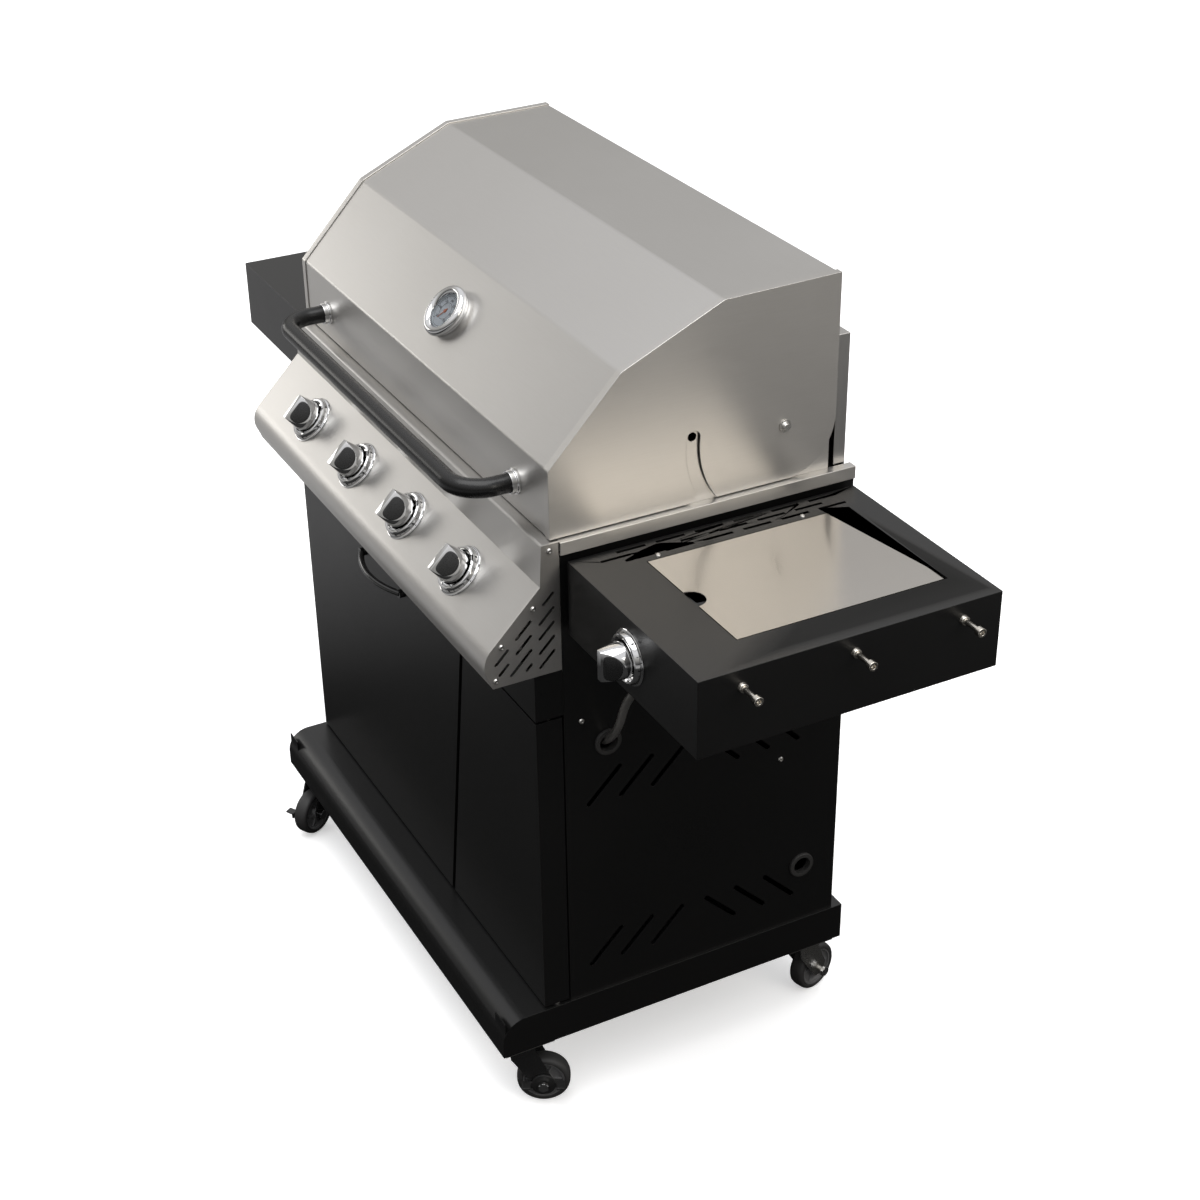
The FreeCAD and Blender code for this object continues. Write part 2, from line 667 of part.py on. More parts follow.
# ---- Control panel, valves, knobs ---------------------------------------------------------------
def panel_face(x, grow):
    """Closed side outline of the control panel; grow moves every face outwards."""
    top = Z_DECK + 0.2
    front = Y_FRONT - PANEL_TOP_OUT
    knee = (front - 3, Z_DECK - PANEL_FACE_DROP)
    foot = (knee[0] - PANEL_SLOPE[0], knee[1] - PANEL_SLOPE[1])
    nose = [(foot[0] - out, foot[1] - down) for out, down in PANEL_NOSE]
    low = (foot[0] - PANEL_TUCK, Z_DECK - PANEL_BOTTOM_DROP)
    back = PANEL_BACK
    edges = [
        Part.LineSegment(V(x, back, top), V(x, front, top)).toShape(),
        Part.LineSegment(V(x, front, top), V(x, *knee)).toShape(),
        Part.LineSegment(V(x, *knee), V(x, *foot)).toShape(),
        Part.Arc(V(x, *foot), V(x, *nose[0]), V(x, *nose[1])).toShape(),
        Part.LineSegment(V(x, *nose[1]), V(x, *low)).toShape(),
        Part.LineSegment(V(x, *low), V(x, back, low[1])).toShape(),
        Part.LineSegment(V(x, back, low[1]), V(x, back, top)).toShape(),
    ]
    face = Part.Face(Part.Wire(edges))
    return face.makeOffset2D(grow, 2) if grow else face


def control_panel():
    """Folded stainless fascia that carries the knobs, open at the back and below."""
    x = HALF + 1.0
    outer = panel_face(-x, 0).extrude(V(2 * x, 0, 0))
    inner = panel_face(-x, -SHEET).extrude(V(2 * x, 0, 0))
    back = PANEL_BACK
    low = Z_DECK - PANEL_BOTTOM_DROP
    foot = Y_FRONT - PANEL_TOP_OUT - 3 - PANEL_SLOPE[0]
    open_back = box(-x - 1, x + 1, back - SHEET - 0.5, back + 1, low - 1, Z_DECK - 12)
    open_foot = box(-x - 1, x + 1, foot + PANEL_SILL, back + 1, low - 1, low + SHEET + 0.5)
    shell = outer.cut(inner).cut([open_back, open_foot])
    n = knob_normal()
    holes = [rod(knob_point(kx) - n * 5, knob_point(kx) + n * 5, STEM_HOLE_R) for kx in KNOB_XS]
    return shell.cut(holes)


def panel_end_plate():
    """Stainless cheek of the control panel with three columns of slanted slots."""
    x0 = HALF + 1.0
    x1 = x0 + PLATE
    plate = panel_face(x0, 0).extrude(V(PLATE, 0, 0))
    run, drop = PANEL_SLOPE
    lean = math.atan2(drop, run)
    cuts = []
    for column, lengths in enumerate(END_SLOT_LENGTHS):
        for row, length in enumerate(lengths):
            y = Y_FRONT - END_SLOT_FIRST[0] - END_SLOT_STEP * column
            z = Z_DECK - END_SLOT_FIRST[1] - END_SLOT_STEP * column - END_SLOT_PITCH * row
            y -= math.cos(lean) * length / 2
            z -= math.sin(lean) * length / 2
            cuts.append(slot_yz(x0 - 1, x1 + 1, y, z, length, END_SLOT_W, math.degrees(lean)))
    return plate.cut(cuts)


def plate_screw_places():
    """Corners of the end plate that are screwed, as (y, z)."""
    top = Z_DECK - 9
    knee = Z_DECK - PANEL_FACE_DROP
    front = Y_FRONT - PANEL_TOP_OUT
    foot = (front - 3 - PANEL_SLOPE[0], knee - PANEL_SLOPE[1])
    return [
        (front + 11, top), (front - 13, knee - 27), (foot[0] + 13, foot[1]),
        (foot[0] + 4, Z_DECK - PANEL_BOTTOM_DROP + 10),
    ]


def screws_and_bolts():
    """Panel cheek screws, cabinet side screws, shelf bolts and the two hood pivot bolts."""
    out = []
    x = HALF + 1.0 + PLATE
    for y, z in plate_screw_places():
        out += pair(screw_head(V(x, y, z), V(1, 0, 0), *SCREW))
    for dy, dz in SIDE_SCREWS:
        out += pair(screw_head(V(HALF, Y_FRONT + dy, Z_FLOOR + dz), V(1, 0, 0), *SCREW))
    for dy in (SHELF_D * 0.25, SHELF_D * 0.75):
        at = V(SHELF_X + SHELF_SCREW_IN, SHELF_Y + dy, SHELF_Z)
        out += pair(screw_head(at, V(0, 0, 1), *SHELF_SCREW))
    out += pair(pivot_bolt())
    return out


def manifold_centre():
    return knob_point(0) - knob_normal() * (VALVE_BACK + VALVE_L + MANIFOLD_R)


HOSE_TOP = V(HOSE_X, manifold_centre().y, manifold_centre().z - MANIFOLD_R - 9)


def gas_manifold():
    """Gas rail behind the panel, capped at both ends, with a hose nipple below its right end."""
    centre = manifold_centre()
    x0, x1 = KNOB_XS[0] - 40, HOSE_TOP.x + 14
    pipe = rod(V(x0, centre.y, centre.z), V(x1, centre.y, centre.z), MANIFOLD_R)
    nipple = rod(V(HOSE_TOP.x, centre.y, centre.z), V(HOSE_TOP.x, centre.y, HOSE_TOP.z), HOSE_R)
    nut = rod(V(HOSE_TOP.x, centre.y, HOSE_TOP.z), V(HOSE_TOP.x, centre.y, HOSE_TOP.z + 8), HOSE_R + 2.5)
    return fuse([pipe, nipple, nut])


def valve(at, out, nozzle_axis):
    """Gas tap: body on the knob's axis, stem bore, nozzle square to the firebox."""
    front = at - out * VALVE_BACK
    body = rod(front, front - out * VALVE_L, VALVE_R)
    bore = rod(front + out, front - out * (VALVE_L - 8), STEM_R + PIN_GAP)
    start = at - out * NOZZLE_DEPTH
    return fuse([body, rod(start, start + nozzle_axis * NOZZLE_L, NOZZLE_R)]).cut(bore)


def side_knob_point():
    return V(SIDE_KNOB_X, SHELF_Y, SIDE_KNOB_Z)


def gas_valves():
    n = knob_normal()
    out = [valve(knob_point(x), n, V(0, 1, 0)) for x in KNOB_XS]
    out.append(valve(side_knob_point(), V(0, -1, 0), V(0, 0, -1)))
    return out


def valve_stem(at, out):
    """Sprung spindle: slides into the tap when the knob is pressed."""
    return rod(at - out * (VALVE_BACK + VALVE_L - 8 - KNOB_PUSH - 3), at + out * (KNOB_LIFT + KNOB_H), STEM_R)


def knob(at, out, up):
    """Round-skirted knob with a straight grip across its face."""
    low = at + out * KNOB_LIFT
    mid = low + out * KNOB_H
    side = out.cross(up)
    skirt = cone(low, mid, KNOB_R, KNOB_R - 2)
    corner = mid - side * (KNOB_GRIP_W / 2) - up * (KNOB_GRIP_L / 2)
    points = [
        corner,
        corner + side * KNOB_GRIP_W,
        corner + side * KNOB_GRIP_W + up * KNOB_GRIP_L,
        corner + up * KNOB_GRIP_L,
    ]
    face = Part.Face(Part.makePolygon(points + points[:1]))
    grip = face.extrude(out * KNOB_GRIP_H)
    grip = grip.common(cone(low - out, mid + out * (KNOB_GRIP_H + 1), KNOB_R + 4.5, KNOB_R - 1))
    bore = rod(low - out, mid + out * 2, STEM_R + PIN_GAP)
    return fuse([skirt, grip]).cut(bore)


def bezel(at, out):
    """Flared ring round a knob."""
    flare = cone(at, at + out * BEZEL_H, BEZEL_R, BEZEL_R - 5)
    dish = cone(at + out * 2, at + out * (BEZEL_H + 0.1), BEZEL_BORE_R + 8, BEZEL_R - 7)
    return flare.cut([dish, rod(at - out, at + out * 9, BEZEL_BORE_R)])


def knob_bezels():
    n = knob_normal()
    return [bezel(knob_point(x), n) for x in KNOB_XS] + [bezel(side_knob_point(), V(0, -1, 0))]


# ---- Hood ---------------------------------------------------------------------------------------
def hood_line():
    """Outer (y, z) line of the hood from its front lower edge to its rear lip."""
    a = (HOOD_Y, HOOD_Z)
    b = (HOOD_Y, HOOD_Z + HOOD_WALL_H)
    c = (b[0] + HOOD_FACE[0], b[1] + HOOD_FACE[1])
    d = (c[0] + HOOD_CROWN[0], c[1] + HOOD_CROWN[1])
    e = (HOOD_BACK, d[1] + HOOD_TOP_RISE)
    f = (HOOD_BACK, e[1] - HOOD_BACK_LIP)
    return [a, b, c, d, e, f]


def face_frame():
    """Middle and outward direction of the sloping hood face, on the hood sheet."""
    line = inset(hood_line(), SHEET)
    b, c = line[1], line[2]
    run, rise = c[0] - b[0], c[1] - b[1]
    size = math.hypot(run, rise)
    return V(0, (b[0] + c[0]) / 2, (b[1] + c[1]) / 2), V(0, -rise / size, run / size)


def hood_shell():
    """Front, crown and rear lip of the hood, folded from one stainless sheet."""
    line = inset(hood_line(), SHEET)
    x = HOOD_X - SHEET
    shell = strip_x(line, SHEET, -x, x)
    at, out = face_frame()
    stem = rod(at - out * 5, at + out * 5, THERMO_STEM_R + PIN_GAP)
    return shell.cut(stem)


def hood_side_plate():
    """Hood side: flat plate with a lip folded over the hood sheet, rounded heel, open spit notch."""
    line = hood_line()
    x0, x1 = HOOD_X - SHEET, HOOD_X
    heel_r = HOOD_HEEL_R
    drop = PIVOT_Z - HOOD_Z
    heel_y = PIVOT_Y + math.sqrt(heel_r * heel_r - drop * drop)
    half = -0.5 * math.degrees(math.asin(drop / heel_r))
    edges = [Part.LineSegment(V(x0, *p), V(x0, *q)).toShape() for p, q in zip(line[:5], line[1:5])]
    edges.append(Part.LineSegment(V(x0, *line[4]), V(x0, HOOD_BACK, PIVOT_Z)).toShape())
    heel_middle = V(x0, *polar(heel_r, half))
    edges.append(Part.Arc(V(x0, HOOD_BACK, PIVOT_Z), heel_middle, V(x0, heel_y, HOOD_Z)).toShape())
    edges.append(Part.LineSegment(V(x0, heel_y, HOOD_Z), V(x0, *line[0])).toShape())
    plate = Part.Face(Part.Wire(edges)).extrude(V(SHEET, 0, 0))
    lip = strip_x(line, SHEET, HOOD_X - HOOD_SIDE_LIP, HOOD_X)
    r_out, r_in = SPIT_R + NOTCH_W / 2, SPIT_R - NOTCH_W / 2
    band = ring(V(x0 - 1, PIVOT_Y, PIVOT_Z), V(x1 + 1, PIVOT_Y, PIVOT_Z), r_out, r_in)
    reach = 2 * SPIT_R
    sweep = [(PIVOT_Y, PIVOT_Z)] + [polar(reach, SPIT_ANGLE + turn) for turn in (0, 33, 66)]
    band = band.common(prism_x(sweep, x0 - 2, x1 + 2))
    top = rod(V(x0 - 1, *SPIT), V(x1 + 1, *SPIT), NOTCH_W / 2)
    hole = rod(V(x0 - 1, PIVOT_Y, PIVOT_Z), V(x1 + 1, PIVOT_Y, PIVOT_Z), PIVOT_R + PIN_GAP)
    body = fuse([plate, lip]).cut([band, top, hole])
    mouth_y = PIVOT_Y - math.sqrt(r_out * r_out - drop * drop)
    corner = [
        e for e in body.Edges
        if e.BoundBox.XLength > SHEET * 0.9 and e.BoundBox.XLength < 2 * SHEET
        and abs(e.BoundBox.Center.y - mouth_y) < 1 and abs(e.BoundBox.Center.z - HOOD_Z) < 1
    ]
    return body.makeFillet(12, corner) if corner else body


def hood_handle():
    """Bent steel tube on two posts."""
    y0 = HOOD_Y + SHEET
    y1 = y0 - HANDLE_REACH
    z = HOOD_Z + HANDLE_H
    r = HANDLE_BEND_R
    k = r * (1 - math.sqrt(0.5))
    x = HANDLE_HALF
    edges = [
        Part.LineSegment(V(-x, y0, z), V(-x, y1 + r, z)).toShape(),
        Part.Arc(V(-x, y1 + r, z), V(-x + k, y1 + k, z), V(-x + r, y1, z)).toShape(),
        Part.LineSegment(V(-x + r, y1, z), V(x - r, y1, z)).toShape(),
        Part.Arc(V(x - r, y1, z), V(x - k, y1 + k, z), V(x, y1 + r, z)).toShape(),
        Part.LineSegment(V(x, y1 + r, z), V(x, y0, z)).toShape(),
    ]
    path = Part.Wire(edges)
    solids = []
    for radius in (HANDLE_R, HANDLE_R - HANDLE_WALL):
        disc = Part.Face(Part.Wire(Part.makeCircle(radius, V(-x, y0, z), V(0, 1, 0))))
        solids.append(path.makePipe(disc))
    return solids[0].cut(solids[1])


def handle_ferrules():
    y0 = HOOD_Y + SHEET
    z = HOOD_Z + HANDLE_H
    out = []
    for x in (-HANDLE_HALF, HANDLE_HALF):
        collar = rod(V(x, y0, z), V(x, y0 - FERRULE_L, z), FERRULE_R - 2)
        foot = rod(V(x, y0, z), V(x, y0 - 4, z), FERRULE_R)
        bore = rod(V(x, y0 + 1, z), V(x, y0 - FERRULE_L - 1, z), HANDLE_R)
        out.append(fuse([collar, foot]).cut(bore))
    return out


def thermometer():
    """Dial gauge: stepped case on the hood face and a stem through it."""
    at, out = face_frame()
    case = cone(at, at + out * (THERMO_H * 0.5), THERMO_R - 5, THERMO_R)
    rim = cone(at + out * (THERMO_H * 0.5), at + out * THERMO_H, THERMO_R, THERMO_R - 5)
    dish = rod(at + out * (THERMO_H - 4), at + out * (THERMO_H + 1), THERMO_R - 9)
    stem = rod(at, at - out * THERMO_STEM_L, THERMO_STEM_R)
    return fuse([fuse([case, rim]).cut(dish), stem])


# ---- Doors --------------------------------------------------------------------------------------
def split_x(z):
    return SPLIT_FOOT_X + (z - Z_FLOOR) * SPLIT_LEAN


def door(side):
    """Folded pan door, open at the back; side is -1 for the left door and 1 for the right."""
    lean_gap = SPLIT_GAP / 2

    def edge(z, shrink):
        return split_x(z) + side * (lean_gap + shrink)

    def outline(shrink):
        z0, z1 = DOOR_FOOT + shrink, DOOR_TOP - shrink
        x = side * (HALF - shrink)
        return [(x, z0), (x, z1), (edge(z1, shrink), z1), (edge(z0, shrink), z0)]

    pan = prism_y(outline(0), DOOR_FRONT, DOOR_BACK)
    hollow = prism_y(outline(SHEET), DOOR_FRONT + SHEET, DOOR_BACK + 1)
    px, py = door_pin(side)
    holes = [
        rod(V(px, py, DOOR_FOOT - 1), V(px, py, DOOR_FOOT + 4), DOOR_PIN_R + PIN_GAP),
        rod(V(px, py, DOOR_TOP - 4), V(px, py, DOOR_TOP + 1), DOOR_PIN_R + PIN_GAP),
    ]
    return pan.cut([hollow] + holes)


def door_pin(side):
    return side * (HALF - DOOR_PIN_EDGE), DOOR_BACK - DOOR_PIN_BACK


def door_handle():
    """Arched grip across the top of the left door: one bent rod on two feet."""
    z = DOOR_TOP - DOOR_HANDLE_DROP
    x, half = DOOR_HANDLE_X, DOOR_HANDLE_W / 2
    y0, y1 = DOOR_FRONT, DOOR_FRONT - DOOR_HANDLE_REACH
    arc = Part.Arc(V(x - half, y0 - 6, z), V(x, y1, z), V(x + half, y0 - 6, z)).toShape()
    start = arc.tangentAt(arc.FirstParameter)
    disc = Part.Face(Part.Wire(Part.makeCircle(DOOR_HANDLE_R, V(x - half, y0 - 6, z), start)))
    grip = Part.Wire([arc]).makePipe(disc)
    feet = [rod(V(x + s * half, y0, z), V(x + s * half, y0 - 9, z), DOOR_HANDLE_R + 2) for s in (-1, 1)]
    return fuse([grip] + feet)


def hinge_pins():
    """Pivot studs of the doors, top and bottom, and the two pins of the side-burner lid."""
    out = []
    for side in (-1, 1):
        x, y = door_pin(side)
        foot = rod(V(x, y, Z_FLOOR), V(x, y, Z_FLOOR + DOOR_PIN_L), DOOR_PIN_R)
        washer = rod(V(x, y, Z_FLOOR), V(x, y, DOOR_FOOT - SEAT_GAP), DOOR_PIN_R + 3)
        out.append(fuse([foot, washer]))
        out.append(rod(V(x, y, FASCIA_BOTTOM), V(x, y, FASCIA_BOTTOM - DOOR_PIN_L), DOOR_PIN_R))
    y, z = lid_axis()
    for x, inward in ((WELL_X, 1), (WELL_X + WELL_W, -1)):
        out.append(rod(V(x, y, z), V(x + inward * (LID_PIN_L + LID_GAP), y, z), LID_PIN_R))
    return out


# ---- Shelves and side burner --------------------------------------------------------------------
def shelf(slots):
    """Right-hand shelf: folded box open below, on four bosses against the cabinet side."""
    x0, x1 = SHELF_X, SHELF_END
    z0, z1 = SHELF_Z - SHELF_H, SHELF_Z
    outer = box(x0, x1, SHELF_Y, SHELF_BACK, z0, z1)
    inner = box(x0 + SHEET, x1 - SHEET, SHELF_Y + SHEET, SHELF_BACK - SHEET, z0 - 1, z1 - SHEET)
    bosses = []
    for y in (SHELF_Y + 45, SHELF_BACK - 45):
        for z in (z0 + 22, z1 - 26):
            bosses.append(rod(V(HALF, y, z), V(x0 + 0.5, y, z), SHELF_BOSS_R))
    body = fuse([outer.cut(inner)] + bosses)
    cuts = []
    count = 7
    middle = (SHELF_Y + SHELF_BACK) / 2
    for row, dx in enumerate(SHELF_SLOT_ROWS):
        shift = SHELF_SLOT_PITCH * (0.25 if row % 2 else -0.25)
        for i in range(count):
            y = middle + (i - (count - 1) / 2) * SHELF_SLOT_PITCH + shift
            if abs(y - middle) < SHELF_D / 2 - SHELF_SLOT[0] / 2 - 8:
                half_l, half_w = SHELF_SLOT[0] / 2, SHELF_SLOT[1] / 2
                cuts.append(box(x0 + dx - half_w, x0 + dx + half_w, y - half_l, y + half_l, z1 - 3, z1 + 1))
    return body.cut(cuts) if slots else body


def right_shelf():
    """Shelf with the side-burner opening: walls turned down round it and a lip that seats the bowl."""
    x0, x1 = WELL_X, WELL_X + WELL_W
    y0, y1 = WELL_Y, WELL_Y + WELL_D
    z0, z1 = SHELF_Z - WELL_FLANGE, SHELF_Z
    collar = box(x0 - SHEET, x1 + SHEET, y0 - SHEET, y1 + SHEET, z0 - SHEET, z1 - 0.5)
    body = fuse([shelf(True), collar])
    well = box(x0, x1, y0, y1, z0, z1 + 1)
    below = box(x0 + WELL_LIP, x1 - WELL_LIP, y0 + WELL_LIP, y1 - WELL_LIP, z0 - 3, z0 + 1)
    knob_at = side_knob_point()
    stem_hole = rod(knob_at + V(0, -2, 0), knob_at + V(0, 3, 0), STEM_HOLE_R)
    return body.cut([well, below, stem_hole])


def bowl_seat():
    return SHELF_Z - WELL_FLANGE


def side_burner_bowl():
    """Pressed drip bowl that hangs by its rim in the opening."""
    z = bowl_seat()
    x0, x1 = WELL_X + 0.5, WELL_X + WELL_W - 0.5
    y0, y1 = WELL_Y + 0.5, WELL_Y + WELL_D - 0.5
    rim = box(x0, x1, y0, y1, z, z + SHEET)
    edge = WELL_LIP + 1.0
    outer = box(x0 + edge, x1 - edge, y0 + edge, y1 - edge, z - BOWL_DEPTH, z + SHEET)
    uprights = [e for e in outer.Edges if e.BoundBox.ZLength > BOWL_DEPTH * 0.9]
    outer = outer.makeFillet(18, uprights)
    t = edge + SHEET
    inner = box(x0 + t, x1 - t, y0 + t, y1 - t, z - BOWL_DEPTH + SHEET, z + 5)
    uprights = [e for e in inner.Edges if e.BoundBox.ZLength > BOWL_DEPTH * 0.9]
    inner = inner.makeFillet(18 - SHEET, uprights)
    cx, cy = well_centre()
    tube = rod(V(cx, y0 - 5, side_tube_z()), V(cx, cy, side_tube_z()), SIDE_TUBE_R + 0.5)
    return fuse([rim, outer]).cut([inner, tube])


def well_centre():
    return WELL_X + WELL_W / 2, WELL_Y + WELL_D / 2 + 2


def side_tube_z():
    return bowl_seat() - BOWL_DEPTH + SHEET + 13


def side_burner_head():
    """Cast head with its cap, on a foot and a feed tube from the tap."""
    cx, cy = well_centre()
    z = side_tube_z()
    foot = rod(V(cx, cy, z - 13), V(cx, cy, z), 16)
    cup = cone(V(cx, cy, z), V(cx, cy, z + 22), SIDE_HEAD_R - 14, SIDE_HEAD_R)
    cap = cone(V(cx, cy, z + 22), V(cx, cy, z + 29), SIDE_HEAD_R - 2, SIDE_CAP_R)
    tube = rod(V(cx, SHELF_Y + VALVE_L + 12, z), V(cx, cy, z), SIDE_TUBE_R)
    return fuse([foot, cup, cap, tube])


def side_burner_trivet():
    """Welded pan support: outer frame, ring and fingers."""
    z0 = bowl_seat() + SHEET + SEAT_GAP
    z1 = z0 + TRIVET_BAR
    x0, x1 = WELL_X + 4, WELL_X + WELL_W - 4
    y0, y1 = WELL_Y + 4, WELL_Y + WELL_D - 17
    b = TRIVET_BAR
    frame = box(x0, x1, y0, y1, z0, z1).cut(box(x0 + b, x1 - b, y0 + b, y1 - b, z0 - 1, z1 + 1))
    cx, cy = well_centre()
    hub = ring(V(cx, cy, z0), V(cx, cy, z1), 32, 26)
    bars = [
        box(x0 + 1, cx - 28, cy - b / 2, cy + b / 2, z0, z1),
        box(cx + 28, x1 - 1, cy - b / 2, cy + b / 2, z0, z1),
        box(cx - b / 2, cx + b / 2, y0 + 1, cy - 28, z0, z1),
        box(cx - b / 2, cx + b / 2, cy + 28, y1 - 1, z0, z1),
    ]
    for sx in (-1, 1):
        bx = cx + sx * 58
        bars.append(box(bx - b / 2, bx + b / 2, y0 + 1, y1 - 1, z0, z1))
    return fuse([frame, hub] + bars)


def lid_axis():
    """Hinge axis of the side-burner lid, as (y, z)."""
    return WELL_Y + WELL_D - LID_GAP - LID_BARREL_R, SHELF_Z - LID_BARREL_R


def side_burner_lid():
    """Flush stainless lid with turned-down edges, a rolled hinge barrel and a finger notch."""
    x0, x1 = WELL_X + LID_GAP, WELL_X + WELL_W - LID_GAP
    y0 = WELL_Y + LID_GAP
    ya, za = lid_axis()
    z = SHELF_Z
    top = box(x0, x1, y0, ya, z - SHEET, z)
    front = box(x0, x1, y0, y0 + SHEET, z - LID_FLANGE, z)
    sides = [
        box(x0, x0 + SHEET, y0, ya - LID_BARREL_R, z - LID_FLANGE, z),
        box(x1 - SHEET, x1, y0, ya - LID_BARREL_R, z - LID_FLANGE, z),
    ]
    barrel = rod(V(x0, ya, za), V(x1, ya, za), LID_BARREL_R)
    body = fuse([top, front, barrel] + sides)
    cx = (x0 + x1) / 2
    notch = rod(V(cx, y0, z - LID_FLANGE - 1), V(cx, y0, z + 1), LID_NOTCH_R)
    bores = [
        rod(V(x0 - 1, ya, za), V(x0 + LID_PIN_L + 1, ya, za), LID_PIN_R + PIN_GAP),
        rod(V(x1 - LID_PIN_L - 1, ya, za), V(x1 + 1, ya, za), LID_PIN_R + PIN_GAP),
    ]
    return body.cut([notch] + bores)


def tool_pegs():
    """Three steel pegs on the shelf's outer end, each with a flanged foot and a socket head."""
    out = []
    middle = (SHELF_Y + SHELF_BACK) / 2 + 1.5
    z = SHELF_Z - PEG_DOWN
    for i in (-1, 0, 1):
        at = V(SHELF_END, middle + i * PEG_PITCH, z)
        x = V(1, 0, 0)
        head = rod(at + x * (PEG_L - 8), at + x * PEG_L, PEG_HEAD_R)
        socket = rod(at + x * (PEG_L - 4), at + x * (PEG_L + 1), PEG_HEAD_R * 0.5)
        foot = cone(at, at + x * 5, PEG_FLANGE_R, PEG_FLANGE_R - 1.5)
        out.append(fuse([foot, rod(at, at + x * PEG_L, PEG_R), head]).cut(socket))
    return out


def side_gas_hose():
    """Corrugated metal hose from the side tap, through its grommet, up to the gas rail."""
    port = side_knob_point() + V(0, NOZZLE_DEPTH, 0)
    hole = grommet_point(HOSE_HOLE)
    top = HOSE_TOP
    points = [
        V(port.x, port.y, port.z - NOZZLE_L),
        V(port.x, port.y, port.z - NOZZLE_L - 52),
        V(port.x - 16, port.y + 5, port.z - NOZZLE_L - 104),
        V(port.x - 58, port.y + 14, port.z - NOZZLE_L - 152),
        V(hole.x + 52, hole.y - 3, hole.z + 8),
        V(hole.x - 2, hole.y, hole.z),
        V(hole.x - 42, hole.y - 6, hole.z + 14),
        V(top.x, hole.y - 30, hole.z + 58),
        V(top.x, top.y + 28, top.z - 58),
        V(top.x, top.y, top.z - 22),
        V(top.x, top.y, top.z),
    ]
    return tube_route(points, HOSE_R)


# ---- Casters ------------------------------------------------------------------------------------
CASTERS = {
    "front_right": (CASTER_X, Y_FRONT + CASTER_FRONT, 62.5),
    "front_left": (-CASTER_X, Y_FRONT + CASTER_FRONT, -60.0),
    "rear_right": (CASTER_X, Y_FRONT + CASTER_REAR, 107.0),
    "rear_left": (-CASTER_X, Y_FRONT + CASTER_REAR, 80.0),
}
FORK_TOP = CASTER_H - CASTER_PLATE_T - 6.0


def placed(shape, where):
    """Turns a caster piece from its own axes (trail along +X) to its place under the base."""
    x, y, degrees = where
    shape = shape.copy()
    shape.rotate(V(0, 0, 0), V(0, 0, 1), degrees)
    shape.translate(V(x, y, 0))
    return shape


def caster_plate(where):
    """Fixed plate with the kingpin and the upper bearing race."""
    x, y, _ = where
    half_w, half_l = CASTER_PLATE[0] / 2, CASTER_PLATE[1] / 2
    z = CASTER_H - CASTER_PLATE_T
    plate = box(x - half_w, x + half_w, y - half_l, y + half_l, z, CASTER_H)
    race = rod(V(x, y, z - 5), V(x, y, z), 21)
    pin = rod(V(x, y, FORK_TOP - 6), V(x, y, z), KINGPIN_R)
    return fuse([plate, race, pin])


def caster_fork():
    """Pressed fork, turning on the kingpin, with the axle bolt across it."""
    half = WHEEL_W / 2 + FORK_GAP
    crown = rod(V(0, 0, FORK_TOP - 3), V(0, 0, FORK_TOP + 0.7), 23)
    skirt = box(-16, TRAIL * 0.6, -half - FORK_T, half + FORK_T, FORK_TOP - 3, FORK_TOP)
    top = fuse([crown, skirt]).cut(rod(V(0, 0, 0), V(0, 0, CASTER_H), KINGPIN_R + PIN_GAP))
    legs = []
    for s in (-1, 1):
        y0 = min(s * half, s * (half + FORK_T))
        outline = [(-16, FORK_TOP), (18, FORK_TOP), (TRAIL + 12, WHEEL_R + 8), (TRAIL + 9, WHEEL_R - 9),
                   (TRAIL - 9, WHEEL_R - 9), (-14, FORK_TOP - 22)]
        wire = Part.makePolygon([V(px, y0, pz) for px, pz in outline + outline[:1]])
        leg = Part.Face(wire).extrude(V(0, FORK_T, 0))
        legs.append(leg)
    reach = half + FORK_T
    axle = rod(V(TRAIL, -reach - BRAKE_T - 7, WHEEL_R), V(TRAIL, reach + 5, WHEEL_R), AXLE_R)
    nut = rod(V(TRAIL, reach, WHEEL_R), V(TRAIL, reach + 5, WHEEL_R), 7)
    head = rod(V(TRAIL, -reach - BRAKE_T - 7, WHEEL_R), V(TRAIL, -reach - BRAKE_T - 2, WHEEL_R), 7)
    return fuse([top] + legs + [axle, nut, head])


def caster_wheel():
    """Moulded wheel with a rounded tread, a hub and a recess each side."""
    y = WHEEL_W / 2
    a, b = V(TRAIL, -y, WHEEL_R), V(TRAIL, y, WHEEL_R)
    tread = rod(a, b, WHEEL_R)
    tread = tread.makeFillet(5, [e for e in tread.Edges if abs(e.BoundBox.YLength) < 0.1])
    dish = []
    for s in (-1, 1):
        p = V(TRAIL, s * y, WHEEL_R)
        inward = V(0, -s, 0)
        dish.append(ring(p - inward, p + inward * 5, WHEEL_R - 9, 11))
    return tread.cut(dish).cut(rod(a - V(0, 1, 0), b + V(0, 1, 0), AXLE_R + PIN_GAP))


def brake_pedal():
    """Rocker on the axle with a tread tab at each end."""
    y1 = -(WHEEL_W / 2 + FORK_GAP + FORK_T) - 0.6
    y0 = y1 - BRAKE_T + 0.4
    hub = rod(V(TRAIL, y0, WHEEL_R), V(TRAIL, y1, WHEEL_R), 17)
    arm = box(TRAIL - 30, TRAIL + 30, y0, y1, WHEEL_R - 5, WHEEL_R + 5)
    tabs = [
        box(TRAIL + s * 24 - 6, TRAIL + s * 24 + 6, y0 - 12, y1, WHEEL_R + 2, WHEEL_R + 5) for s in (-1, 1)
    ]
    bore = rod(V(TRAIL, y0 - 1, WHEEL_R), V(TRAIL, y1 + 1, WHEEL_R), AXLE_R + PIN_GAP)
    return fuse([hub, arm] + tabs).cut(bore)


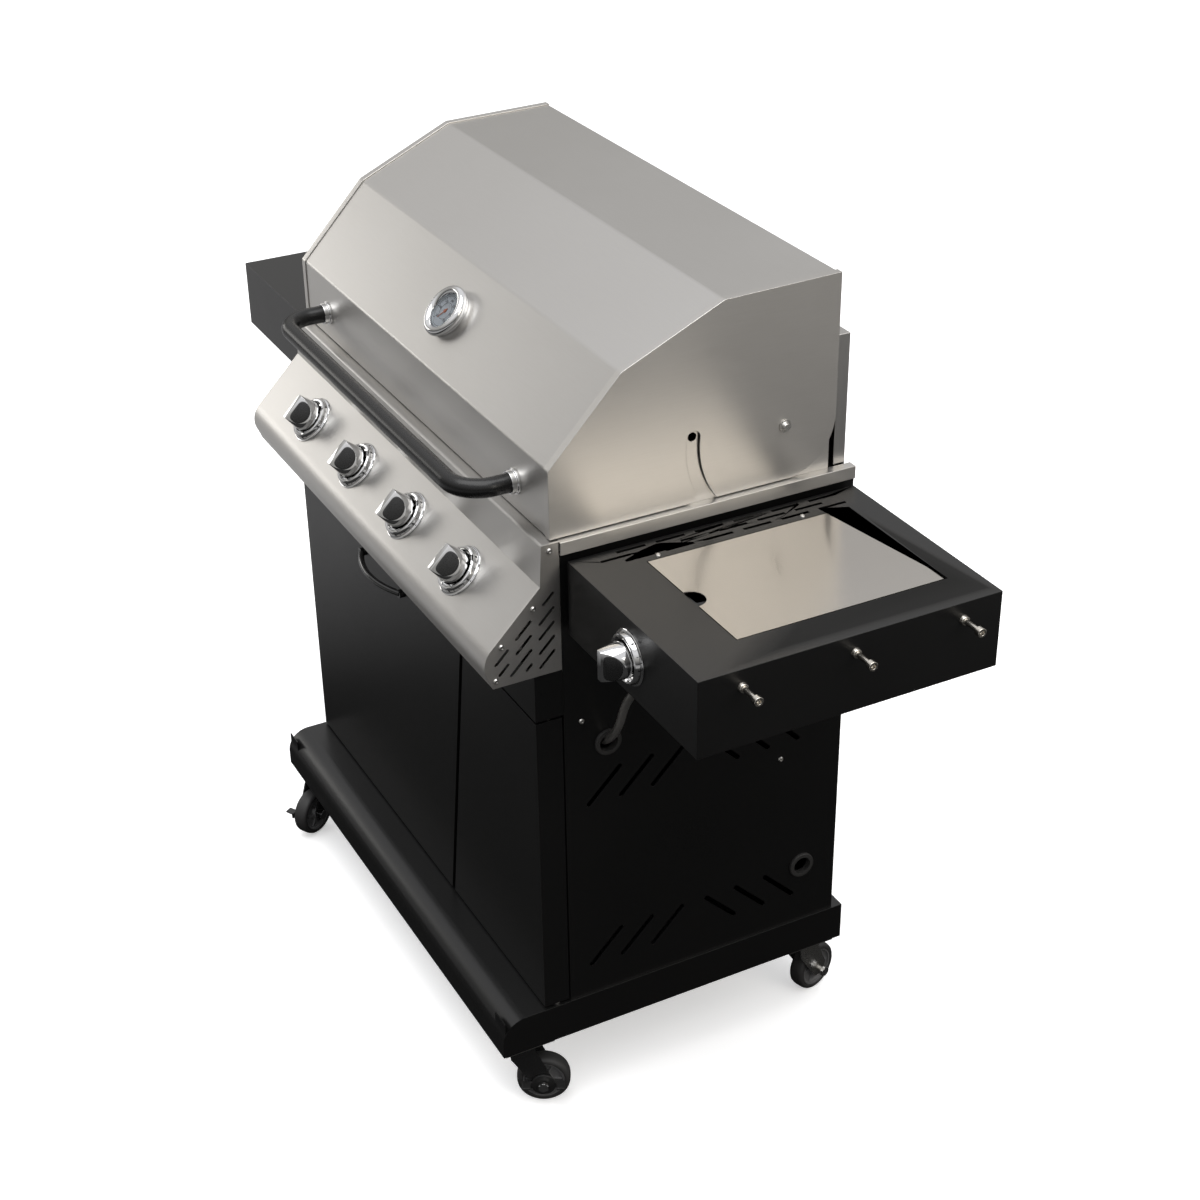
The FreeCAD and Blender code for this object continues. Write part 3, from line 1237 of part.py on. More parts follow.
# ---- The set of sub-parts -----------------------------------------------------------------------
nodes = {
    "base_tray": base_tray(),
    "left_side_panel": mirrored(side_panel()),
    "right_side_panel": right_side_panel(),
    "hose_grommets": hose_grommets(),
    "rear_panel": rear_panel(),
    "fascia_beam": fascia_beam(),
    "firebox": firebox(),
    "side_rails": pair(side_rail()),
    "rear_heat_shield": rear_heat_shield(),
    "hinge_plates": pair(hinge_plate()),
    "warming_rack": warming_rack(),
    "cooking_grate": cooking_grate(),
    "hotplate": hotplate(),
    "flame_tamers": flame_tamers(),
    "tube_burners": tube_burners(),
    "grease_tray": grease_tray(),
    "control_panel": control_panel(),
    "panel_end_plates": pair(panel_end_plate()),
    "screws_and_bolts": screws_and_bolts(),
    "gas_manifold": gas_manifold(),
    "gas_valves": gas_valves(),
    "knob_bezels": knob_bezels(),
    "side_valve_stem": valve_stem(side_knob_point(), V(0, -1, 0)),
    "side_burner_knob": knob(side_knob_point(), V(0, -1, 0), V(0, 0, 1)),
    "hood_shell": hood_shell(),
    "hood_side_plates": pair(hood_side_plate()),
    "hood_handle": hood_handle(),
    "handle_ferrules": handle_ferrules(),
    "thermometer": thermometer(),
    "left_door": door(-1),
    "right_door": door(1),
    "door_handle": door_handle(),
    "hinge_pins": hinge_pins(),
    "left_shelf": mirrored(shelf(True)),
    "right_shelf": right_shelf(),
    "side_burner_bowl": side_burner_bowl(),
    "side_burner_head": side_burner_head(),
    "side_burner_trivet": side_burner_trivet(),
    "side_burner_lid": side_burner_lid(),
    "tool_pegs": tool_pegs(),
    "side_gas_hose": side_gas_hose(),
    "caster_plates": [caster_plate(where) for where in CASTERS.values()],
}
slope_up = knob_normal().cross(V(1, 0, 0))
for number, knob_x in enumerate(KNOB_XS, 1):
    nodes["valve_stem_%d" % number] = valve_stem(knob_point(knob_x), knob_normal())
    nodes["burner_knob_%d" % number] = knob(knob_point(knob_x), knob_normal(), slope_up)
for name, where in CASTERS.items():
    nodes["caster_fork_" + name] = placed(caster_fork(), where)
    nodes["caster_wheel_" + name] = placed(caster_wheel(), where)
    if name.startswith("front"):
        nodes["brake_pedal_" + name] = placed(brake_pedal(), where)

# The origin moves to the bottom centre of the whole object.
shapes = {n: Part.makeCompound(s) if isinstance(s, list) else s for n, s in nodes.items()}
extent = FreeCAD.BoundBox()
for shape in shapes.values():
    extent.add(shape.optimalBoundingBox(True, False))
shift = V(-extent.Center.x, -extent.Center.y, 0)
print("shift", round(shift.x, 4), round(shift.y, 4), "lowest", round(extent.ZMin, 4))
os.makedirs("parts", exist_ok=True)
for name, shape in shapes.items():
    moved = shape.copy()
    moved.translate(shift)
    moved.exportStep("parts/%s.step" % name)
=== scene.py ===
import json
import math

import bpy
from mathutils import Matrix, Vector

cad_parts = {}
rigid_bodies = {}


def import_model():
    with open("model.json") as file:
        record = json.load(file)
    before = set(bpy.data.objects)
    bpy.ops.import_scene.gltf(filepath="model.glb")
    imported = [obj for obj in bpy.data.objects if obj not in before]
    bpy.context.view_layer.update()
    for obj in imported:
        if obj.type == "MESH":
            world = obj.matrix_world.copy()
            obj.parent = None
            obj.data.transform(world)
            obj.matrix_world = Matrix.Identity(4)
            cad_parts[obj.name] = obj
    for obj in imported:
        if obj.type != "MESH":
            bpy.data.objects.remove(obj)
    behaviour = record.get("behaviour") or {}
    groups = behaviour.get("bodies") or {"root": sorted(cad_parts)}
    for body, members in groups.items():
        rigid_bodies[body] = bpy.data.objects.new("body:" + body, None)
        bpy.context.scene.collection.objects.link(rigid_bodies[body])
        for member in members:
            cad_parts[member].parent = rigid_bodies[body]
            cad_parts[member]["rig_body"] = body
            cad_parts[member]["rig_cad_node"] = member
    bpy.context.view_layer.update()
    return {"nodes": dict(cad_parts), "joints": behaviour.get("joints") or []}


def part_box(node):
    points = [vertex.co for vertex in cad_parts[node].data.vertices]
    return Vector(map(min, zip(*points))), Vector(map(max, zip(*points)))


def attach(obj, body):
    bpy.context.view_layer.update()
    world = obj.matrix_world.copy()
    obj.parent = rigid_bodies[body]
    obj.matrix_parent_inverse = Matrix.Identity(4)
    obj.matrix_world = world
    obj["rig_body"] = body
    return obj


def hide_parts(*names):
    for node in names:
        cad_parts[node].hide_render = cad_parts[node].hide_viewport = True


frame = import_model()
joints = {joint["name"]: joint for joint in frame["joints"]}

# ---- Studio ---------------------------------------------------------------------------------------
# The grill is shown on a white seamless floor. The camera stands to its right, in front and above,
# and looks down on the side-burner shelf with the hood behind it.
eye = Vector((2.3859, -1.1506, 2.0890))
aim = Vector((0.0617, 0.0597, 0.5732))
camera_roll = math.radians(-0.8457)
look = (aim - eye).normalized()
right = look.cross(Vector((0, 0, 1))).normalized()
rise = right.cross(look)
rolled_right = right * math.cos(camera_roll) + rise * math.sin(camera_roll)
rolled_rise = rise * math.cos(camera_roll) - right * math.sin(camera_roll)
bpy.ops.object.select_all(action="DESELECT")
bpy.ops.object.camera_add(location=eye)
camera = bpy.context.object
camera_turn = Matrix((rolled_right, rolled_rise, -look)).transposed().to_4x4()
camera.matrix_world = Matrix.Translation(eye) @ camera_turn
camera.data.sensor_width = 36
camera.data.lens = 63.57
camera.data.clip_end = 60
bpy.context.scene.camera = camera


def soft_box(name, place, target, size, power, tint=(1, 1, 1)):
    """A square studio light that faces the target."""
    bpy.ops.object.light_add(type="AREA", location=place)
    lamp = bpy.context.object
    lamp.name = name
    lamp.data.shape = "RECTANGLE"
    lamp.data.size, lamp.data.size_y = size
    lamp.data.energy = power
    lamp.data.color = tint
    lamp.rotation_euler = (Vector(target) - Vector(place)).to_track_quat("-Z", "Y").to_euler()
    return lamp


soft_box("overhead_soft_box", (0.4, -0.5, 4.4), (0, 0, 0.6), (4.0, 3.2), 130)
soft_box("left_soft_box", (-4.4, -2.0, 1.5), (0, 0, 0.8), (2.2, 1.2), 22, (1.0, 0.98, 0.95))
soft_box("right_soft_box", (4.6, 1.8, 3.0), (0, 0, 0.8), (2.4, 2.0), 50, (1.0, 0.94, 0.85))
bpy.context.scene.view_settings.view_transform = "Standard"

# The room is white to the eye. In reflections it darkens towards the ground, as a studio does.
studio = bpy.data.worlds.new("white_studio")
studio.use_nodes = True
studio_tree = studio.node_tree
sky = studio_tree.nodes["Background"]
way = studio_tree.nodes.new("ShaderNodeTexCoord")
split = studio_tree.nodes.new("ShaderNodeSeparateXYZ")
studio_tree.links.new(way.outputs["Generated"], split.inputs["Vector"])
fade = studio_tree.nodes.new("ShaderNodeValToRGB")
fade.color_ramp.elements[0].position = 0.0
fade.color_ramp.elements[0].color = (0.10, 0.10, 0.10, 1)
fade.color_ramp.elements[1].position = 0.62
fade.color_ramp.elements[1].color = (0.98, 0.98, 1.0, 1)
middle_tone = fade.color_ramp.elements.new(0.34)
middle_tone.color = (0.50, 0.49, 0.47, 1)
studio_tree.links.new(split.outputs["Z"], fade.inputs["Fac"])
seen = studio_tree.nodes.new("ShaderNodeLightPath")
pick = studio_tree.nodes.new("ShaderNodeMix")
pick.data_type = "RGBA"
pick.inputs["B"].default_value = (1, 1, 1, 1)
studio_tree.links.new(seen.outputs["Is Camera Ray"], pick.inputs["Factor"])
studio_tree.links.new(fade.outputs["Color"], pick.inputs["A"])
studio_tree.links.new(pick.outputs["Result"], sky.inputs["Color"])
sky.inputs["Strength"].default_value = 1.0
bpy.context.scene.world = studio

# The floor looks white too. To all but camera rays it is painted grey: painted shade that is dark around the
# grill and lighter out to the left, so its reflections darken near the grill.
bpy.ops.mesh.primitive_plane_add(size=16, location=(0, 0, 0))
floor = bpy.context.object
floor.name = "studio_floor"
floor_paint = bpy.data.materials.new("studio_floor_paint")
floor_paint.use_nodes = True
floor_tree = floor_paint.node_tree
floor_shader = floor_tree.nodes["Principled BSDF"]
floor_shader.inputs["Roughness"].default_value = 0.9
floor_shader.inputs["Specular IOR Level"].default_value = 0.0
floor_shader.inputs["Emission Color"].default_value = (1, 1, 1, 1)
looked_at = floor_tree.nodes.new("ShaderNodeLightPath")
floor_tone = floor_tree.nodes.new("ShaderNodeMix")
floor_tone.data_type = "RGBA"
floor_place = floor_tree.nodes.new("ShaderNodeTexCoord")
floor_reach = floor_tree.nodes.new("ShaderNodeVectorMath")
floor_reach.operation = "DISTANCE"
floor_reach.inputs[1].default_value = (0.9, 0, 0)
floor_tree.links.new(floor_place.outputs["Object"], floor_reach.inputs[0])
# Painted shade: for all but camera rays the floor's colour runs from a dark 0.03 near the grill to 0.34
# further out.
floor_painted_shade = floor_tree.nodes.new("ShaderNodeMapRange")
for value_name, value in (("From Min", 1.7), ("From Max", 2.4), ("To Min", 0.03), ("To Max", 0.34)):
    floor_painted_shade.inputs[value_name].default_value = value
floor_tree.links.new(floor_reach.outputs["Value"], floor_painted_shade.inputs["Value"])
floor_tree.links.new(floor_painted_shade.outputs["Result"], floor_tone.inputs["A"])
floor_tone.inputs["B"].default_value = (0.95, 0.95, 0.95, 1)
floor_tree.links.new(looked_at.outputs["Is Camera Ray"], floor_tone.inputs["Factor"])
floor_tree.links.new(floor_tone.outputs["Result"], floor_shader.inputs["Base Color"])
floor_glow = floor_tree.nodes.new("ShaderNodeMath")
floor_glow.operation = "MULTIPLY"
floor_glow.inputs[1].default_value = 0.42
floor_tree.links.new(looked_at.outputs["Is Camera Ray"], floor_glow.inputs[0])
floor_tree.links.new(floor_glow.outputs["Value"], floor_shader.inputs["Emission Strength"])
floor.data.materials.append(floor_paint)


# ---- Base tray ------------------------------------------------------------------------------------
# A deep tray folded from steel sheet with a rounded nose, spot-welded webs over the casters, and a
# satin black powder coat like the rest of the cabinet.
def finish(name, colour, mottle, rough, metallic=0.0, grain=(60, 60, 60), depth=0.0, patches=4.0):
    """A surface: a colour mottled towards a second one, a fine grain in its gloss and a shallow relief."""
    made = bpy.data.materials.new(name)
    made.use_nodes = True
    tree = made.node_tree
    shader = tree.nodes["Principled BSDF"]
    shader.inputs["Metallic"].default_value = metallic
    place = tree.nodes.new("ShaderNodeTexCoord")
    stretch = tree.nodes.new("ShaderNodeMapping")
    stretch.inputs["Scale"].default_value = grain
    tree.links.new(place.outputs["Object"], stretch.inputs["Vector"])
    fine = tree.nodes.new("ShaderNodeTexNoise")
    fine.inputs["Scale"].default_value = 10
    fine.inputs["Detail"].default_value = 4
    tree.links.new(stretch.outputs["Vector"], fine.inputs["Vector"])
    broad = tree.nodes.new("ShaderNodeTexNoise")
    broad.inputs["Scale"].default_value = patches
    broad.inputs["Detail"].default_value = 3
    tree.links.new(place.outputs["Object"], broad.inputs["Vector"])
    tones = tree.nodes.new("ShaderNodeMix")
    tones.data_type = "RGBA"
    tones.inputs["A"].default_value = (*colour, 1)
    tones.inputs["B"].default_value = (*mottle, 1)
    blend = tree.nodes.new("ShaderNodeMath")
    blend.operation = "MULTIPLY_ADD"
    blend.inputs[1].default_value = 0.5
    tree.links.new(fine.outputs["Fac"], blend.inputs[0])
    half = tree.nodes.new("ShaderNodeMath")
    half.operation = "MULTIPLY"
    half.inputs[1].default_value = 0.5
    tree.links.new(broad.outputs["Fac"], half.inputs[0])
    tree.links.new(half.outputs["Value"], blend.inputs[2])
    tree.links.new(blend.outputs["Value"], tones.inputs["Factor"])
    tree.links.new(tones.outputs["Result"], shader.inputs["Base Color"])
    gloss = tree.nodes.new("ShaderNodeMapRange")
    for limit, value in (("From Min", 0.3), ("From Max", 0.7), ("To Min", rough[0]), ("To Max", rough[1])):
        gloss.inputs[limit].default_value = value
    tree.links.new(blend.outputs["Value"], gloss.inputs["Value"])
    tree.links.new(gloss.outputs["Result"], shader.inputs["Roughness"])
    if depth:
        relief = tree.nodes.new("ShaderNodeBump")
        relief.inputs["Strength"].default_value = 0.35
        relief.inputs["Distance"].default_value = depth
        tree.links.new(fine.outputs["Fac"], relief.inputs["Height"])
        tree.links.new(relief.outputs["Normal"], shader.inputs["Normal"])
    return made


def shader_of(paint):
    """The material's main shader."""
    return paint.node_tree.nodes["Principled BSDF"]


def pick_edges(piece, test, corner_cosine=0.96):
    """Selects, in edit mode, the edges whose two ends pass the test and that turn a corner."""
    bpy.ops.mesh.select_mode(type="EDGE")
    bpy.ops.mesh.select_all(action="DESELECT")
    bpy.ops.object.mode_set(mode="OBJECT")
    points = [vertex.co for vertex in piece.data.vertices]
    sides = {}
    for face in piece.data.polygons:
        for key in face.edge_keys:
            sides.setdefault(key, []).append(face.normal)
    for line in piece.data.edges:
        around = sides.get(line.key, [])
        sharp = len(around) == 2 and around[0].dot(around[1]) < corner_cosine
        line.select = sharp and test(points[line.vertices[0]], points[line.vertices[1]])
    bpy.ops.object.mode_set(mode="EDIT")


def round_corners(piece, width, rings, angle=30, miter="MITER_SHARP"):
    """Rounds the active piece's edges that turn by more than an angle in degrees."""
    rounding = piece.modifiers.new("rounded_corners", "BEVEL")
    rounding.width = width
    rounding.segments = rings
    rounding.limit_method = "ANGLE"
    rounding.angle_limit = math.radians(angle)
    rounding.miter_outer = miter
    bpy.ops.object.modifier_apply(modifier=rounding.name)


def rounded_copy(node, name, paint, edge=0.0006, rings=2, folds=()):
    """A copy of a CAD node with its seams merged, its folded corners rounded and its edges broken.
    Each fold is (test on an edge's two ends, radius)."""
    bpy.ops.object.select_all(action="DESELECT")
    source = frame["nodes"][node]
    piece = source.copy()
    piece.data = source.data.copy()
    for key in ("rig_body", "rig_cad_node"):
        del piece[key]
    piece.name = name
    piece.parent = None
    bpy.context.scene.collection.objects.link(piece)
    piece.select_set(True)
    bpy.context.view_layer.objects.active = piece
    bpy.ops.object.mode_set(mode="EDIT")
    bpy.ops.mesh.select_all(action="SELECT")
    bpy.ops.mesh.remove_doubles(threshold=0.00002)
    bpy.ops.mesh.dissolve_limited(angle_limit=math.radians(0.5))
    for test, radius in folds:
        pick_edges(piece, test)
        bpy.ops.mesh.bevel(
            offset=radius, offset_type="OFFSET", segments=5, affect="EDGES", clamp_overlap=True
        )
    bpy.ops.object.mode_set(mode="OBJECT")
    if edge:
        round_corners(piece, edge, rings, 40, "MITER_ARC")
    bpy.ops.object.shade_smooth_by_angle(angle=math.radians(35))
    flats = piece.modifiers.new("flat_faces_kept_flat", "WEIGHTED_NORMAL")
    flats.weight = 100
    flats.keep_sharp = True
    bpy.ops.object.modifier_apply(modifier=flats.name)
    piece.data.materials.clear()
    piece.data.materials.append(paint)
    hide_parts(node)
    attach(piece, source["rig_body"])
    return piece


black_powder_coat = finish(
    "black_powder_coat", (0.004, 0.004, 0.004), (0.007, 0.007, 0.007), (0.27, 0.36), grain=(90, 90, 90),
    depth=0.00006
)
shader_of(black_powder_coat).inputs["Specular IOR Level"].default_value = 0.42


def box_folds(node, wall=0.0017, least=0.006):
    """A test for the long edges, outer and inner, where two sides of a node's box meet."""
    low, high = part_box(node)

    def test(a, b):
        if (a - b).length < least:
            return False
        met = 0
        for step in range(3):
            for side in (low[step], high[step]):
                met += abs(a[step] - side) < wall and abs(b[step] - side) < wall
        return met >= 2
    return test


def coated(node, name, edge, rings=2, fold=None):
    """A CAD node in the powder coat, with the folds along its box rounded if a radius is given."""
    folds = [(box_folds(node), fold)] if fold else ()
    rounded_copy(node, name, black_powder_coat, edge, rings, folds)


coated("base_tray", "base_tray_coated", 0.0007, fold=0.0020)

# ---- Cabinet sides and back -------------------------------------------------------------------------
# Side panels with pressed slanted slots and folded returns, and a plain back let in between them. They
# are pop-riveted to the base tray, coated in the same black.
coated("left_side_panel", "left_side_coated", 0.0006)
coated("right_side_panel", "right_side_coated", 0.0006)
coated("rear_panel", "rear_panel_coated", 0.0005)

# ---- Hose bushes ------------------------------------------------------------------------------------
# Two black rubber bushes snapped into the right side. The upper one takes the side-burner hose and the
# lower one the supply hose.
bush_rubber = finish(
    "bush_rubber", (0.018, 0.018, 0.018), (0.035, 0.034, 0.033), (0.55, 0.72), grain=(140, 140, 140),
    depth=0.0002
)
rounded_copy("hose_grommets", "hose_bushes", bush_rubber, 0.0008, 3)

# ---- Front beam and doors ---------------------------------------------------------------------------
# Folded pans of coated steel: a cross beam over a wide left door and a narrow right door that meet on
# a slanted gap. The doors hang on pins at their outer edges.
coated("fascia_beam", "front_beam_coated", 0.0010, 3)
coated("left_door", "left_door_coated", 0.0012, 3)
coated("right_door", "right_door_coated", 0.0012, 3)

# ---- Door grip --------------------------------------------------------------------------------------
# A steel rod bent to a flat arch, enamelled gloss black, with a collar at each foot. It is screwed
# through the door's face.
gloss_black = finish(
    "gloss_black_enamel", (0.010, 0.010, 0.010), (0.016, 0.016, 0.016), (0.16, 0.24), grain=(30, 30, 30)
)
shader_of(gloss_black).inputs["Coat Weight"].default_value = 0.4
shader_of(gloss_black).inputs["Coat Roughness"].default_value = 0.12
rounded_copy("door_handle", "door_grip", gloss_black, 0.0006)

# ---- Hinge pins and screws --------------------------------------------------------------------------
# Zinc-plated steel: the pins of the doors and the side lid, domed screws with a drive recess, and the
# hood's two shoulder bolts.
zinc_plate = finish(
    "zinc_plate", (0.50, 0.49, 0.47), (0.62, 0.61, 0.58), (0.24, 0.38), 1.0, grain=(70, 70, 70), depth=0.00008
)
rounded_copy("hinge_pins", "hinge_pins_plated", zinc_plate, 0.0003)
rounded_copy("screws_and_bolts", "screws_plated", zinc_plate, 0.0003)

# ---- Firebox and what hangs in it -------------------------------------------------------------------
# An enamelled steel box with ledges for the tamers and grates, and runners below for the grease tray.
# Tube burners plug into it from the front; tamers stand over them.
stove_enamel = finish(
    "stove_enamel", (0.014, 0.014, 0.014), (0.030, 0.028, 0.026), (0.34, 0.55), grain=(45, 45, 45),
    depth=0.0003
)
rounded_copy("firebox", "firebox_enamelled", stove_enamel, 0.0005)
rounded_copy("grease_tray", "grease_tray_enamelled", stove_enamel, 0.0006)
heated_steel = finish(
    "heated_stainless", (0.36, 0.31, 0.25), (0.50, 0.47, 0.43), (0.30, 0.46), 1.0, grain=(8, 90, 90),
    depth=0.0001, patches=9
)
rounded_copy("flame_tamers", "flame_tamers_steel", heated_steel, 0.0005)


def joined(pieces, name):
    """Several loose meshes made one piece."""
    bpy.ops.object.select_all(action="DESELECT")
    for piece in pieces:
        piece.select_set(True)
    bpy.context.view_layer.objects.active = pieces[0]
    bpy.ops.object.join()
    bpy.ops.object.transform_apply(location=True, rotation=True, scale=True)
    bpy.context.object.name = name
    return bpy.context.object


# Each burner tube has a row of gas ports along both sides, drilled just below its shoulders. They are not cut:
# thin near-black discs paint the shade inside each hole.
burner_low, burner_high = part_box("tube_burners")
knob_places = [Vector(joints["knob_%d_turn" % number]["pos_m"]) for number in (1, 2, 3, 4)]
burner_axis_z = (burner_low.z + burner_high.z) / 2
burner_radius = (burner_high.z - burner_low.z) / 2
rounded_copy("tube_burners", "burner_tubes", heated_steel, 0.0004)
# Painted shade: the ports' disc colour is near black and stands in for the dark inside of each drilled hole.
port_painted_shade = finish("port_hole_painted_shade", (0.004, 0.004, 0.004), (0.010, 0.009, 0.008), (0.7, 0.9), grain=(80, 80, 80))
port_radius, port_first, port_pitch, port_lean = 0.0016, 0.045, 0.0105, math.radians(62)
ports = []
for place in knob_places:
    for lean in (-port_lean, port_lean):
        for count in range(32):
            spot = Vector((
                place.x + burner_radius * math.sin(lean), burner_low.y + port_first + count * port_pitch,
                burner_axis_z + burner_radius * math.cos(lean),
            ))
            bpy.ops.object.select_all(action="DESELECT")
            bpy.ops.mesh.primitive_cylinder_add(
                vertices=8, radius=port_radius, depth=0.0006, location=spot, rotation=(0, lean, 0)
            )
            ports.append(bpy.context.object)
burner_ports = joined(ports, "burner_ports")
burner_ports.data.materials.append(port_painted_shade)
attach(burner_ports, "cart")

# ---- Grates and rack --------------------------------------------------------------------------------
# A cast grate of long bars and a cast hotplate lie side by side on the upper ledges, both in matt
# black porcelain enamel. The warming rack is chromed wire, its two long rods let into the hinge plates.
cast_black = finish(
    "porcelain_cast_iron", (0.016, 0.016, 0.017), (0.032, 0.031, 0.030), (0.45, 0.68), grain=(120, 120, 120),
    depth=0.0005
)
rounded_copy("cooking_grate", "cooking_grate_cast", cast_black, 0.0016, 3)
rounded_copy("hotplate", "hotplate_cast", cast_black, 0.0016, 3)
bright_chrome = finish(
    "bright_chrome", (0.62, 0.62, 0.62), (0.70, 0.70, 0.70), (0.04, 0.08), 1.0, grain=(20, 20, 20)
)
rounded_copy("warming_rack", "warming_rack_wire", bright_chrome, 0.0)

# ---- Rails, heat shield, hinge plates ---------------------------------------------------------------
# Folded stainless strips cap the deck at each side. The heat shield stands behind the hood, and the
# hinge plates carry the hood's bolts, the rack and a spit. The steel is brushed along its length.
def brushed(name, colour, mottle, rough, grain, across, patches=3):
    """Brushed steel: fine lines along one way, and reflections drawn out across them."""
    made = finish(name, colour, mottle, rough, 1.0, grain=grain, depth=0.00005, patches=patches)
    tree = made.node_tree
    shader = tree.nodes["Principled BSDF"]
    shader.inputs["Anisotropic"].default_value = 0.75
    drawn_out = tree.nodes.new("ShaderNodeCombineXYZ")
    for socket, value in zip(drawn_out.inputs, across):
        socket.default_value = value
    tree.links.new(drawn_out.outputs["Vector"], shader.inputs["Tangent"])
    return made


stainless_side = brushed(
    "stainless_brushed_along_depth", (0.52, 0.50, 0.47), (0.61, 0.60, 0.58), (0.30, 0.38), (120, 3, 120),
    (0.1, 0, 1)
)
rounded_copy("side_rails", "side_rails_steel", stainless_side, 0.0012, 3)
rounded_copy("hinge_plates", "hinge_plates_steel", stainless_side, 0.0005)
stainless_front = brushed(
    "stainless_brushed_across", (0.52, 0.505, 0.48), (0.61, 0.60, 0.585), (0.32, 0.40), (3, 120, 120),
    (0, 1, 1)
)
rounded_copy("rear_heat_shield", "rear_heat_shield_steel", stainless_front, 0.0009, 3)

# ---- Control panel ----------------------------------------------------------------------------------
# One folded sheet: a rolled top edge under the hood, a sloping face for the knobs and a rounded nose.
# Cheeks cut with three columns of slanted slots close its ends, each held by four screws.
panel_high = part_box("control_panel")[1]


def panel_top_front(a, b):
    """True for the long top edges, but not for those at the back."""
    top = min(a.z, b.z) > panel_high.z - 0.0006
    return top and max(a.y, b.y) < panel_high.y - 0.003 and abs(a.x - b.x) > 0.01


rounded_copy(
    "control_panel", "control_panel_steel", stainless_front, 0.0012, 3,
    folds=[(panel_top_front, 0.0030)]
)
rounded_copy("panel_end_plates", "panel_cheeks_steel", stainless_side, 0.0007)

# ---- Gas rail, taps and spindles --------------------------------------------------------------------
# A zinc-plated steel rail feeds brass taps screwed into it. Each spindle is turned brass and springs out
# of its tap through a hole in the panel.
rounded_copy("gas_manifold", "gas_rail_plated", zinc_plate, 0.0006)
tap_brass = finish("tap_brass", (0.62, 0.44, 0.17), (0.74, 0.56, 0.26), (0.24, 0.38), 1.0, grain=(60, 60, 60))
rounded_copy("gas_valves", "gas_taps_brass", tap_brass, 0.0005)
for number in (1, 2, 3, 4):
    rounded_copy("valve_stem_%d" % number, "spindle_%d_brass" % number, tap_brass, 0.0004)
rounded_copy("side_valve_stem", "side_spindle_brass", tap_brass, 0.0004)

# ---- Knob bezels ------------------------------------------------------------------------------------
# Pressed and chromed rings under the knobs: a flat foot, a stepped wall with engraved ticks, a rolled lip.
def lathe(name, profile, turns=64):
    """A closed ring or bowl: a line of (radius, height) points spun about Z."""
    bpy.ops.object.select_all(action="DESELECT")
    bpy.ops.mesh.primitive_plane_add(size=0.001)
    piece = bpy.context.object
    piece.name = name
    bpy.ops.object.mode_set(mode="EDIT")
    bpy.ops.mesh.delete(type="VERT")
    bpy.ops.object.mode_set(mode="OBJECT")
    piece.data.vertices.add(len(profile))
    for vertex, (radius, height) in zip(piece.data.vertices, profile):
        vertex.co = (radius, 0, height)
    piece.data.edges.add(len(profile) - 1)
    for line, start in zip(piece.data.edges, range(len(profile) - 1)):
        line.vertices = (start, start + 1)
    bpy.ops.object.mode_set(mode="EDIT")
    bpy.ops.mesh.select_all(action="SELECT")
    bpy.ops.mesh.spin(steps=turns, angle=2 * math.pi, center=(0, 0, 0), axis=(0, 0, 1))
    bpy.ops.mesh.select_all(action="SELECT")
    bpy.ops.mesh.remove_doubles(threshold=0.00001)
    bpy.ops.mesh.normals_make_consistent(inside=False)
    bpy.ops.object.mode_set(mode="OBJECT")
    bpy.ops.object.shade_smooth_by_angle(angle=math.radians(30))
    return piece


def seat(piece, at, out, up):
    """Moves a piece modelled at the origin, its Z outwards and its Y up, to its place."""
    out = Vector(out).normalized()
    side = Vector(up).cross(out).normalized()
    turn = Matrix((side, out.cross(side), out)).transposed().to_4x4()
    piece.data.transform(Matrix.Translation(at) @ turn)
    return piece


def copy_of(piece, name):
    """A second piece like the first, with a mesh of its own."""
    twin = piece.copy()
    twin.data = piece.data.copy()
    twin.name = name
    bpy.context.scene.collection.objects.link(twin)
    return twin


def bar(size, place, turn=(0, 0, 0)):
    """A rectangular bar, turned about its middle and put in its place."""
    bpy.ops.object.select_all(action="DESELECT")
    bpy.ops.mesh.primitive_cube_add(size=1)
    piece = bpy.context.object
    piece.scale, piece.location, piece.rotation_euler = size, place, turn
    bpy.ops.object.transform_apply(location=True, rotation=True, scale=True)
    return piece


def on_circle(radius, turn, height):
    """A point at a height over a circle round Z."""
    return (radius * math.cos(turn), radius * math.sin(turn), height)


panel_out = Vector(joints["knob_1_turn"]["axis"])
panel_up = Vector((1, 0, 0)).cross(panel_out) * -1
shelf_out = Vector(joints["side_knob_turn"]["axis"])
side_knob_place = Vector(joints["side_knob_turn"]["pos_m"])
knob_seats = [
    ("burner_knob_%d" % number, place, panel_out, panel_up, "knob_%d" % number)
    for number, place in enumerate(knob_places, 1)
] + [("side_burner_knob", side_knob_place, shelf_out, Vector((0, 0, 1)), "side_knob")]
bezel_profile = [
    (0.0142, 0.0003), (0.0352, 0.0003), (0.0352, 0.0010), (0.0346, 0.0015), (0.0330, 0.0017), (0.0322, 0.0022),
    (0.0314, 0.0068), (0.0305, 0.0084), (0.0290, 0.0092), (0.0272, 0.0090), (0.0262, 0.0080), (0.0256, 0.0028),
    (0.0142, 0.0020), (0.0142, 0.0003),
]
bezel_pattern = lathe("bezel_pattern", bezel_profile, 96)
tick_black = finish("tick_black", (0.006, 0.006, 0.006), (0.012, 0.012, 0.012), (0.45, 0.60))
bezels = []
bezel_ticks = []
for node, place, out, up, body in knob_seats:
    bezels.append(seat(copy_of(bezel_pattern, "bezel"), place, out, up))
    for count in range(9):
        turn = math.radians(-60 + 15 * count)
        size = (0.0006, 0.0022, 0.0034) if count % 4 == 0 else (0.0006, 0.0007, 0.0022)
        tick = bar(size, on_circle(0.0318, turn, 0.0046), (0, math.radians(-10), turn))
        bezel_ticks.append(seat(tick, place, out, up))
bpy.data.objects.remove(bezel_pattern)
